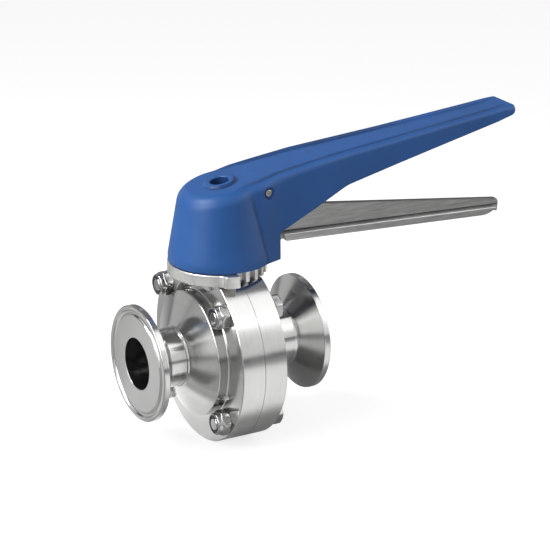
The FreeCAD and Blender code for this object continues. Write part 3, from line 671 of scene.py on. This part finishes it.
def pin_surface():
    """Cross pin turned about its own axis, with a small round at each end."""
    profile = rounded_path([(-PIN_END, 0, 0), (-PIN_END, 1.5, 0.3), (PIN_END, 1.5, 0.3),
                            (PIN_END, 0, 0)], closed=False)
    along, up, across = np.moveaxis(turned(profile, ring_angles(48)), -1, 0)
    return surface(np.stack([PIVOT[0] + across, along, PIVOT[2] + up], -1), wrap_columns=True)


# Trigger

def rail_foot(x):
    """Height of the grip rail's underside, on the line between its two ends."""
    (near, near_z), (far, far_z) = (30.8, 43.8), (139.0, 37.9)
    return near_z + (x - near) * (far_z - near_z) / (far - near)


def trigger_outline():
    """Side view of the trigger plate: eye, neck, long grip web, nose over the notches."""
    px, pz, eye = PIVOT[0], PIVOT[2], 2.8
    eye_arc = [(px + eye * math.cos(a), pz + eye * math.sin(a), 0)
               for a in np.radians(np.arange(215, 20, -12))]
    corners = eye_arc + [
        (38.0, 66.3, 1.0), (41.5, 62.2, 0), (44.3, 60.0, 0), (47.0, 58.5, 0), (51.0, 57.1, 2.0),
        (142.2, 44.3, 2.0), (141.7, 38.3, 0.4), (134.0, rail_foot(134.0) + 1.6, 0),
        (31.8, rail_foot(31.8) + 1.6, 0.5), (29.2, 43.8, 0.8), (24.8, 43.5, 1.6),
        (24.8, 36.4, 0.8), (20.3, 36.4, 0.5), (20.3, 39.95, 0.3), (20.7, 41.4, 1.0),
        (px + 1.5, pz - 21, 2.0)]
    return rounded_path(corners[::-1])


def trigger_surface(settings):
    """Trigger plate with its pin hole, every edge slightly broken."""
    half = settings.plate_thickness / MM / 2
    hole = circle(PIVOT[0], PIVOT[2], 1.55, 12)
    return plate(trigger_outline(), -half, half, 0.3, UPRIGHT, holes=[hole])


def rail_surface(settings):
    """Grip rail: a section (across, height) with a channel for the trigger plate, carried along
    the rail. Its near end leans, and its far end rises from below."""
    half, slit = settings.rail_width / MM / 2, settings.plate_thickness / MM / 2
    rise, middle = 3.6, 1.8
    section = rounded_path([
        (-half, 0, 0.9), (half, 0, 0.9), (half, rise, 0.6), (slit + 0.35, rise, 0.25),
        (slit + 0.3, rise - 0.9, 0), (-slit - 0.3, rise - 0.9, 0), (-slit - 0.35, rise, 0.25),
        (-half, rise, 0.6)])
    h = section[:, 1]
    near = 30.8 - 1.6 * h / rise
    far = 132.0 + 7.0 * np.clip(h / 2.2, 0, 1) ** 0.8
    along = np.concatenate([[0, 0, 0.002, 0.006], np.linspace(0.02, 0.98, 40),
                            [0.994, 0.998, 1, 1]])
    tuck = np.array([0.35, 0.1, 0.03, 0] + [0] * 40 + [0, 0.03, 0.1, 0.35])[:, None]
    x = near + (far - near) * along[:, None]
    y = section[:, 0] * (1 - tuck * 0.1)
    z = rail_foot(x) + middle + (h - middle) * (1 - tuck * 0.2)
    points, faces = surface(np.stack([x, y, z], -1), wrap_columns=True)
    cap = np.array(tessellate_polygon([[Vector((u, v, 0)) for u, v in section]]))
    return points, faces + [cap, cap + len(section) * (len(along) - 1)]


# Finishes

class Value:
    """An output of a node. Expressions on a number that changes over a surface add Math nodes."""

    def __init__(self, tree, socket):
        self.tree = tree
        self.socket = socket

    def _math(self, operation, *values):
        return self.tree.value("ShaderNodeMath", {"operation": operation},
                               dict(enumerate(values)))

    def __add__(self, other):
        return self._math("ADD", self, other)

    __radd__ = __add__

    def __sub__(self, other):
        return self._math("SUBTRACT", self, other)

    def __rsub__(self, other):
        return self._math("SUBTRACT", other, self)

    def __mul__(self, other):
        return self._math("MULTIPLY", self, other)

    __rmul__ = __mul__

    def __pow__(self, other):
        return self._math("POWER", self, other)

    def most(self, other):
        """The larger of two values."""
        return self._math("MAXIMUM", self, other)

    def step(self, low, high):
        """0 below low, 1 above high, eased between."""
        return self.tree.value("ShaderNodeMapRange", {"interpolation_type": "SMOOTHSTEP"},
                               {0: self, 1: low, 2: high, 3: 0.0, 4: 1.0})

    def near_zero(self, width):
        """1 at 0, eased to 0 a width away on either side."""
        return 1.0 - self._math("ABSOLUTE", self).step(width * 0.4, width)


class Tree:
    """The node tree of a material or a world, made from empty."""

    def __init__(self, owner):
        owner.use_nodes = True
        self.owner = owner
        self.tree = owner.node_tree
        self.tree.nodes.clear()

    def node(self, kind, settings=None, values=None):
        """Add a node. Its settings are set first, then its sockets get numbers or links."""
        made = self.tree.nodes.new(kind)
        for key, setting in (settings or {}).items():
            setattr(made, key, setting)
        self.fill(made, values or {})
        return made

    def fill(self, node, values):
        """Give sockets of a node their numbers or links."""
        for key, value in values.items():
            socket = node.inputs[key.replace("_", " ") if isinstance(key, str) else key]
            if isinstance(value, Value):
                self.tree.links.new(value.socket, socket)
            else:
                socket.default_value = value

    def value(self, kind, settings=None, values=None, output=0):
        """Add a node and take one of its outputs."""
        return Value(self, self.node(kind, settings, values).outputs[output])


class Finish(Tree):
    """A material under construction, with one Principled shader."""

    def __init__(self, name, **constants):
        super().__init__(bpy.data.materials.new(name))
        self.shader = self.node("ShaderNodeBsdfPrincipled", {}, constants)
        self.node("ShaderNodeOutputMaterial", {}, {0: Value(self, self.shader.outputs[0])})
        self.place = self.value("ShaderNodeTexCoord", output="Object")
        self.bumps = {}

    def split(self, vector):
        """X, Y and Z of a vector."""
        made = self.node("ShaderNodeSeparateXYZ", {}, {0: vector})
        return [Value(self, socket) for socket in made.outputs]

    def vector(self, x, y, z):
        """Vector from three values."""
        return self.value("ShaderNodeCombineXYZ", {}, {0: x, 1: y, 2: z})

    def noise(self, vector, scale, detail=3.0, roughness=0.55):
        """Noise from 0 to 1."""
        return self.value("ShaderNodeTexNoise", {}, {"Vector": vector, "Scale": scale,
                                                     "Detail": detail, "Roughness": roughness})

    def colours(self, share, low, high):
        """Colour from low to high."""
        return self.value("ShaderNodeMix", {"data_type": "RGBA"},
                          {0: share, 6: (*low, 1), 7: (*high, 1)}, 2)

    def tones(self, share, colour, dark, light):
        """Colour from one factor of it to another."""
        return self.colours(share, scaled(colour, dark), scaled(colour, light))

    def bump(self, height, distance, strength):
        """Raise the surface by a height, in metres at full distance."""
        self.bumps = {"Normal": self.value("ShaderNodeBump", {}, {
            "Height": height, "Distance": distance, "Strength": strength, **self.bumps})}

    def done(self, **links):
        """Link what changes over the surface, and return the material."""
        self.fill(self.shader, {**links, **self.bumps})
        return self.owner


def scaled(colour, factor):
    """Colour times a factor."""
    return tuple(min(1.0, c * factor) for c in colour)


def turned_steel(name, colour, gloss, lines):
    """Turned and polished steel: fine rings about the pipe, which show as rings on the faces and as
    hoops on the cylinders, and faint cloudy handling marks."""
    finish = Finish(name, Metallic=1.0)
    x, y, z = finish.split(finish.place)
    about = finish.vector(x, (y * y + z * z) ** 0.5, 0.0)
    rings = finish.noise(about, lines, 2.0, 0.6)
    coarse = finish.noise(about, lines * 0.22, 2.0, 0.5)
    cloud = finish.noise(finish.place, 60.0)
    finish.bump(rings, 0.000012, 0.5)
    finish.bump(coarse, 0.00003, 0.25)
    shade = (cloud * 0.5 + rings * 0.5).step(0.3, 0.75)
    return finish.done(Base_Color=finish.tones(shade, colour, 0.9, 1.06),
                       Roughness=(cloud - 0.5) * 0.12 + (rings - 0.5) * 0.08 + gloss)


def cast_steel(name, colour, gloss):
    """Satin tumbled casting: a fine pebbled skin with softly uneven gloss."""
    finish = Finish(name, Metallic=1.0)
    fine = finish.noise(finish.place, 2600.0, 3.0, 0.6)
    wide = finish.noise(finish.place, 160.0)
    finish.bump(fine, 0.00002, 0.45)
    finish.bump(wide, 0.00012, 0.12)
    return finish.done(Base_Color=finish.tones(wide.step(0.3, 0.7), colour, 0.88, 1.08),
                       Roughness=(fine - 0.5) * 0.18 + (wide - 0.5) * 0.14 + gloss)


def formed_steel(name, colour, gloss):
    """Bright cold-formed steel of the bolts and nuts, with faint drawing marks."""
    finish = Finish(name, Metallic=1.0)
    x, y, z = finish.split(finish.place)
    marks = finish.noise(finish.vector(x * 0.35, y, z), 1500.0, 2.0, 0.6)
    wide = finish.noise(finish.place, 300.0, 2.0)
    finish.bump(marks, 0.00001, 0.4)
    return finish.done(Base_Color=finish.tones(wide.step(0.25, 0.75), colour, 0.85, 1.08),
                       Roughness=(marks - 0.5) * 0.12 + (wide - 0.5) * 0.1 + gloss)


def brushed_steel(name, colour, gloss):
    """Sheet brushed along its length: noise drawn out along X, and painted shade along two lines:
    the rail's upper edge, where the web goes in, and the web's own upper edge, each a line
    z = height - fall x in metres."""
    finish = Finish(name, Metallic=1.0)
    x, y, z = finish.split(finish.place)
    strokes = finish.noise(finish.vector(x * 0.03, y * 0.2, z), 5200.0, 2.0, 0.6)
    broad = finish.noise(finish.vector(x * 0.05, y * 0.2, z), 1100.0, 3.0, 0.6)
    finish.bump(strokes, 0.000015, 0.6)
    finish.bump(broad, 0.00004, 0.3)
    # Painted shade in the gap where the web enters the rail, and along the web's upper edge
    rail_gap_shade = (z - 0.05166 + x * 0.05453).near_zero(0.0004)
    web_edge_shade = (z - 0.06993 + x * 0.14035).near_zero(0.0006)
    shade = (strokes * 0.55 + broad * 0.45).step(0.25, 0.78) * 0.42 + 0.5
    shade = shade * (1.0 - rail_gap_shade * 0.85) * (1.0 - web_edge_shade * 0.7)
    return finish.done(Base_Color=finish.tones(shade, colour, 0.1, 1.22),
                       Roughness=(strokes - 0.5) * 0.2 + (broad - 0.5) * 0.1 + gloss)


def moulded_plastic(name, colour, gloss, grain):
    """Moulded plastic: a fine even grain, slow changes of tone, and softly uneven gloss. It is
    darker by the painted shade that the mesh carries, in valleys and creases."""
    finish = Finish(name, IOR=1.5, Specular_IOR_Level=0.35)
    painted_shade = finish.value("ShaderNodeAttribute", {"attribute_name": "shade"}, output=2)
    fine = finish.noise(finish.place, grain, 2.0, 0.5)
    slow = finish.noise(finish.place, 45.0, 3.0, 0.5)
    flow = finish.noise(finish.place, 300.0, 3.0, 0.5)
    finish.bump(fine, 0.00003, 0.35)
    finish.bump(flow, 0.0001, 0.06)
    # Painted shade from the mesh's shade attribute takes the colour down
    shade = (slow * 0.7 + fine * 0.3).step(0.25, 0.75) - painted_shade * 1.6
    return finish.done(Base_Color=finish.tones(shade.step(-1.6, 1.0), colour, 0.42, 1.12),
                       Roughness=(fine - 0.5) * 0.14 + (slow - 0.5) * 0.12 + gloss)


def finish_of(slot, settings):
    """The finish of one slot, made once."""
    name = "valve_" + slot
    if name in bpy.data.materials:
        return bpy.data.materials[name]
    steel, blue = tuple(settings.steel_colour), tuple(settings.plastic_colour)
    maker, *values = {
        "turned_stainless": (turned_steel, steel, 0.17, 3600.0),
        "disc_stainless": (turned_steel, scaled(steel, 1.05), 0.15, 4200.0),
        "cast_stainless": (cast_steel, scaled(steel, 1.2), 0.4),
        "fastener_stainless": (formed_steel, scaled(steel, 0.68), 0.22),
        "brushed_sheet": (brushed_steel, scaled(steel, 0.78), 0.36),
        "spring_steel": (formed_steel, scaled(steel, 0.85), 0.28),
        "dark_nylon": (moulded_plastic, (0.02, 0.012, 0.035), 0.4, 5000.0),
        "bush_plastic": (moulded_plastic, (0.62, 0.6, 0.54), 0.45, 4000.0),
        "seat_rubber": (moulded_plastic, (0.012, 0.012, 0.012), 0.5, 6000.0),
        "blue_plastic": (moulded_plastic, blue, settings.plastic_gloss, 4200.0),
    }[slot]
    return maker(name, *values)


def dress_solids(nodes, settings):
    """Give carried-over solids their slot's finish."""
    slots = {row["node"]: row["material_slot"] for row in frame["record"]["subparts"]}
    for name in nodes:
        for slot in frame["nodes"][name].material_slots:
            slot.material = finish_of(slots[name], settings)


# Settings

def length_property(name, default, description):
    """Size in metres."""
    return FloatProperty(name=name, description=description, default=default, unit="LENGTH")


def power_property(name, default, description):
    """Power of a lamp in watts."""
    return FloatProperty(name=name, description=description, default=default, unit="POWER")


def factor_property(name, default, description):
    """Number from 0 to 1."""
    return FloatProperty(name=name, description=description, default=default, subtype="FACTOR",
                         min=0, max=1)


def colour_property(name, default, description):
    """Colour of a finish or of a part of the stage."""
    return FloatVectorProperty(name=name, description=description, default=default,
                               subtype="COLOR", min=0, max=1)


class ValveSettings(bpy.types.PropertyGroup):
    """Sizes and finishes of the valve"""
    flange_radius: length_property(
        "Flange radius", FLANGE_R * MM, "Outer radius of the two bolted flanges")
    flange_thickness: length_property("Flange thickness", 0.01067, "Thickness of one flange")
    casting_edge: length_property("Casting edge", 0.00045, "Edge rounding of the index plate")
    plate_thickness: length_property(
        "Trigger thickness", 0.0025, "Thickness of the trigger plate")
    rail_width: length_property("Rail width", 0.0084, "Width of the grip rail")
    steel_colour: colour_property(
        "Steel", (0.54, 0.54, 0.53), "Colour of polished stainless steel")
    plastic_colour: colour_property(
        "Handle", (0.0135, 0.076, 0.256), "Colour of the moulded handle")
    plastic_gloss: factor_property("Handle roughness", 0.42, "Roughness of the moulded handle")


class StageSettings(bpy.types.PropertyGroup):
    """Colours and lights of the stage"""
    floor_colour: colour_property(
        "Floor", (0.42, 0.42, 0.42), "Colour of the floor about the object")
    far_floor_colour: colour_property(
        "Far floor", (0.30, 0.30, 0.30), "Colour of the floor far from the object")
    floor_lift: factor_property(
        "Floor lift", 0.74, "Light that the floor adds for the camera alone")
    mirror_lift: factor_property(
        "Floor lift in mirrors", 0.04, "Light that the floor adds in reflections")
    card_colour: colour_property(
        "Cards", (0.13, 0.13, 0.14), "Colour of the grey cards that reflections see")
    grey_card_colour: colour_property(
        "Grey cards", (0.72, 0.72, 0.72), "Colour of the cards low on the left")
    world_light: factor_property("World", 0.37, "Strength of the even light from all sides")
    key_power: power_property("Key light", 9.8, "Power of the key light")
    fill_power: power_property("Fill light", 4.2, "Power of the fill light")
    top_power: power_property("Top light", 0.8, "Power of the light above")
    spark_power: power_property("Spark", 2.3, "Power of the small light above the head")
    lens: FloatProperty(name="Lens", description="Focal length in millimetres", default=170.64,
                        unit="CAMERA")


# Operators

class VALVE_OT_body_halves(bpy.types.Operator):
    """Make both body halves"""
    bl_idname = "valve.body_halves"
    bl_label = "Body halves"

    def execute(self, context):
        settings = context.scene.valve
        half = body_surface(settings)
        piece("outlet_half", half, "valve_body", "turned_stainless", settings, "outlet_body")
        piece("inlet_half", mirrored(half), "valve_body", "turned_stainless", settings,
              "inlet_body")
        return {"FINISHED"}


class VALVE_OT_ferrules(bpy.types.Operator):
    """Make both clamp ferrules"""
    bl_idname = "valve.ferrules"
    bl_label = "Clamp ferrules"

    def execute(self, context):
        settings = context.scene.valve
        ferrule = ferrule_surface()
        piece("outlet_clamp_end", ferrule, "valve_body", "turned_stainless", settings,
              "outlet_ferrule")
        piece("inlet_clamp_end", mirrored(ferrule), "valve_body", "turned_stainless", settings,
              "inlet_ferrule")
        return {"FINISHED"}


class VALVE_OT_inner_parts(bpy.types.Operator):
    """Finish the seat, bushes, stem and the other solids that keep their own shape"""
    bl_idname = "valve.inner_parts"
    bl_label = "Seat, disc, stem and bushes"

    def execute(self, context):
        dress_solids(["seat_ring", "disc", "drive_stem", "upper_bush", "lower_bush", "stem_o_ring",
                      "stem_socket", "screw_washer", "handle_screw", "trigger_spring",
                      "nylon_rings"], context.scene.valve)
        return {"FINISHED"}


class VALVE_OT_index_plate(bpy.types.Operator):
    """Make the notched index plate"""
    bl_idname = "valve.index_plate"
    bl_label = "Index plate"

    def execute(self, context):
        settings = context.scene.valve
        piece("notched_plate", index_surface(settings), "valve_body", "cast_stainless", settings,
              "index_plate")
        return {"FINISHED"}


class VALVE_OT_fasteners(bpy.types.Operator):
    """Make the four flange bolts and lock nuts"""
    bl_idname = "valve.fasteners"
    bl_label = "Bolts and nuts"

    def execute(self, context):
        settings = context.scene.valve
        thick = settings.flange_thickness / MM
        off = (settings.flange_radius / MM - BOLT_INSET) * math.sqrt(0.5)
        nut, nut_faces = nut_surface()
        places = [(y, z) for y in (off, -off) for z in (off, -off)]
        for number, ((y, z), turn) in enumerate(zip(places, np.radians((17, 41, 8, 26)))):
            lift = 1.5 if y > 0 and z > 0 else 0.0   # the ear of the index plate lies below
            bolt, bolt_faces = bolt_surface(16.75 + lift, thick)
            c, s = math.cos(turn), math.sin(turn)
            spin = np.array([[1, 0, 0], [0, c, s], [0, -s, c]])
            piece(f"flange_bolt_{number}", (bolt @ spin + np.array([0, y, z]), bolt_faces),
                  "valve_body", "fastener_stainless", settings, "body_bolts")
            piece(f"lock_nut_{number}", (nut @ spin + np.array([-thick - lift, y, z]), nut_faces),
                  "valve_body", "fastener_stainless", settings, "body_nuts")
        return {"FINISHED"}


class VALVE_OT_handle(bpy.types.Operator):
    """Make the moulded handle housing with its ribs and cross pin"""
    bl_idname = "valve.handle"
    bl_label = "Handle housing"

    def execute(self, context):
        settings = context.scene.valve
        *housing, shade = housing_surface()
        piece("moulded_housing", housing, "handle", "blue_plastic", settings, "handle_housing",
              sharp=50, shade=shade)
        for number, rib in enumerate(rib_surfaces()):
            piece(f"arm_rib_{number}", rib, "handle", "blue_plastic", settings)
        piece("cross_pin", pin_surface(), "handle", "fastener_stainless", settings, "pivot_pin")
        return {"FINISHED"}


class VALVE_OT_trigger(bpy.types.Operator):
    """Make the trigger plate and its grip rail"""
    bl_idname = "valve.trigger"
    bl_label = "Trigger and grip rail"

    def execute(self, context):
        settings = context.scene.valve
        piece("squeeze_plate", trigger_surface(settings), "trigger", "brushed_sheet", settings,
              "trigger_plate")
        piece("finger_rail", rail_surface(settings), "trigger", "brushed_sheet", settings,
              "grip_rail")
        return {"FINISHED"}


# Stage, in metres

# Lamps: name, place and size. They aim at one point, and their powers are among the settings.
LAMP_AIM = Vector((0.07, 0, 0.03))
LAMPS = (("key", (-0.9, -0.15, 0.5), (0.8, 0.7)), ("fill", (0.9, -0.42, 0.3), (1.1, 1.1)),
         ("top", (0.53, -0.47, 0.85), (0.55, 0.55)), ("spark", (-0.3, 0.11, 0.585), (0.2, 0.14)))

# Glowing grey cards that only reflections see: name, middle, half width, half height and tone
CARDS = (
    ("right_back_card", (1.0, 1.1, 0.33), (0.9, 0, 0), (0, 0, 0.37), "soft"),
    ("low_back_card", (-0.6, 1.12, 0.13), (0.5, 0, 0), (0, 0, 0.19), "middle"),
    ("high_back_card", (-0.6, 1.12, 0.56), (0.5, 0, 0), (0, 0, 0.24), "dark"),
    ("left_low_card", (-1.1, 0.68, 0.15), (0, 0.44, 0), (0, 0, 0.21), "middle"),
    ("left_high_card", (-1.1, 0.68, 0.6), (0, 0.44, 0), (0, 0, 0.24), "dark"),
    ("left_front_card", (-1.1, -0.25, 0.35), (0, 0.49, 0), (0, 0, 0.41), "soft"),
    ("upper_card", (0.7, 0.515, 0.82), (1.1, 0, 0), (0, 0.635, 0), "soft"),
    ("left_floor_card", (-0.16, -0.14, -0.036), (0.15, 0, 0), (0, 0.16, 0), "low"),
    ("far_floor_card", (-0.61, 0, -0.036), (0.3, 0, 0), (0, 0.4, 0), "middle"),
    ("front_card", (0.3, -1.6, 0.03), (1.8, 0, 0), (0, 0, 0.07), "dark"),
)

# Where the camera stands and the way it looks, fitted to the photograph's perspective
CAMERA_PLACE = (-0.4590, -0.9171, 0.4142)
CAMERA_HEADING = (0.4676, 0.8146, -0.3432)

BLACK, WHITE = (0, 0, 0), (1, 1, 1)


def stage_sheet(name, points, paint):
    """Flat sheet of the stage from a grid of points."""
    made = add_form(name, *surface(points))
    made.data.materials.append(paint)
    return made


def card(name, place, half_width, half_height, colour):
    """Flat card that glows in its tone, seen by reflections only: place + u a + v b on a small grid."""
    paint = Finish(name + "_paint", Roughness=0.9, Specular_IOR_Level=0.0, Emission_Strength=1.0)
    tone = paint.noise(paint.place, 3.0, 1.0)
    u, v = np.meshgrid([-1, 0, 1], [-1, 0, 1], indexing="ij")
    made = stage_sheet(
        name, np.array(place) + u[..., None] * half_width + v[..., None] * half_height,
        paint.done(Base_Color=paint.colours(tone, BLACK, (0.01, 0.01, 0.01)),
                   Emission_Color=paint.tones(tone, colour, 0.85, 1.0)))
    made.visible_camera = False
    made.visible_diffuse = False
    made.visible_shadow = False
    made.visible_transmission = False


def make_floor(stage):
    """Floor at the solids' foot. It is white to the camera, and adds a little light in reflections,
    most of all in front of the valve, under its hub and behind it on the left."""
    paint = Finish("floor_paint", Roughness=0.85, Specular_IOR_Level=0.1, Emission_Strength=1.0)
    x, y, _ = paint.split(paint.place)
    away = ((x - 0.06) * (x - 0.06) + y * y) ** 0.5
    in_front = x.step(0.01, 0.035) * (1.0 - x.step(0.13, 0.19)) * (1.0 - y.step(-0.05, -0.033))
    under_hub = (x.step(-0.004, 0.004) * (1.0 - x.step(0.03, 0.05)) * (1.0 - y.step(0.05, 0.08))
                 * y.step(-0.02, 0.0))
    behind = ((1.0 - (y + x * 1.74).step(0.01, 0.04)) * (1.0 - x.step(-0.02, 0.0))
              * y.step(-0.03, 0.03))
    grain = paint.noise(paint.place, 9.0, 2.0) * 0.02
    path = paint.node("ShaderNodeLightPath").outputs
    seen, reflected = Value(paint, path["Is Camera Ray"]), Value(paint, path["Is Glossy Ray"])
    in_mirrors = in_front * 0.75 + under_hub * 0.75 + behind * 0.3 + stage.mirror_lift
    lift = seen * stage.floor_lift + reflected * in_mirrors
    v, u = np.meshgrid(np.linspace(-3, 3, 7), np.linspace(-3, 3, 7), indexing="ij")
    stage_sheet("floor", np.stack([u, v, np.full(u.shape, solid_box[0][2])], -1), paint.done(
        Base_Color=paint.colours(away.step(0.1, 0.6) + grain, tuple(stage.floor_colour),
                                 tuple(stage.far_floor_colour)),
        Emission_Color=paint.colours(lift, BLACK, WHITE)))


def make_world(scene, stage):
    """World that is white to the camera and in reflections, and a plain grey as light."""
    scene.world = bpy.data.worlds.new("studio")
    tree = Tree(scene.world)
    path = tree.node("ShaderNodeLightPath").outputs
    seen, reflected, through = [Value(tree, path[f"Is {ray} Ray"])
                                for ray in ("Camera", "Glossy", "Transmission")]
    light, white = [tree.value("ShaderNodeBackground", {}, {0: (*WHITE, 1), 1: strength})
                    for strength in (stage.world_light, 1.0)]
    mix = tree.value("ShaderNodeMixShader", {},
                     {0: seen.most(reflected).most(through), 1: light, 2: white})
    tree.node("ShaderNodeOutputWorld", {}, {0: mix})


def aimed(name, data, place, heading):
    """Lamp or camera at a place, looking along a heading."""
    made = add_object(name, data)
    made.location = place
    made.rotation_euler = Vector(heading).to_track_quat("-Z", "Y").to_euler()
    return made


class VALVE_OT_stage(bpy.types.Operator):
    """Make the floor, the cards, the lights, the world and the camera"""
    bl_idname = "valve.stage"
    bl_label = "Stage"

    def execute(self, context):
        scene = context.scene
        stage = scene.valve_stage
        make_floor(stage)
        dark, middle = tuple(stage.card_colour), tuple(stage.grey_card_colour)
        tones = {"dark": dark, "soft": scaled(dark, 2.2), "middle": middle,
                 "low": scaled(middle, 0.75)}
        for name, place, half_width, half_height, tone in CARDS:
            card(name, place, half_width, half_height, tones[tone])
        make_world(scene, stage)
        for name, place, size in LAMPS:
            lamp = bpy.data.lights.new(name, "AREA")
            lamp.shape = "RECTANGLE"
            lamp.size, lamp.size_y = size
            lamp.energy = getattr(stage, name + "_power")
            aimed(name, lamp, place, LAMP_AIM - Vector(place))
        camera = bpy.data.cameras.new("camera")
        camera.sensor_width = 36.0
        camera.sensor_fit = "HORIZONTAL"
        camera.lens = stage.lens
        camera.clip_start, camera.clip_end = 0.01, 20.0
        scene.camera = aimed("camera", camera, CAMERA_PLACE, CAMERA_HEADING)
        scene.view_settings.view_transform = "Standard"
        return {"FINISHED"}


class VALVE_PT_panel(bpy.types.Panel):
    """Valve pieces and their settings"""
    bl_label = "Sanitary butterfly valve"
    bl_idname = "VALVE_PT_panel"
    bl_space_type = "VIEW_3D"
    bl_region_type = "UI"
    bl_category = "Valve"

    def draw(self, context):
        layout = self.layout
        for group in (context.scene.valve, context.scene.valve_stage):
            for name in group.__annotations__:
                layout.prop(group, name)
        for operator in OPERATORS:
            layout.operator(operator.bl_idname)


OPERATORS = (VALVE_OT_body_halves, VALVE_OT_ferrules, VALVE_OT_inner_parts, VALVE_OT_index_plate,
             VALVE_OT_fasteners, VALVE_OT_handle, VALVE_OT_trigger, VALVE_OT_stage)
CLASSES = (ValveSettings, StageSettings) + OPERATORS + (VALVE_PT_panel,)


def register():
    for some_class in CLASSES:
        bpy.utils.register_class(some_class)
    bpy.types.Scene.valve = PointerProperty(type=ValveSettings)
    bpy.types.Scene.valve_stage = PointerProperty(type=StageSettings)


def unregister():
    del bpy.types.Scene.valve_stage
    del bpy.types.Scene.valve
    for some_class in reversed(CLASSES):
        bpy.utils.unregister_class(some_class)


def main():
    """Make every piece."""
    register()
    for operator in OPERATORS:
        space, name = operator.bl_idname.split(".")
        getattr(getattr(bpy.ops, space), name)()


if __name__ == "__main__":
    main()
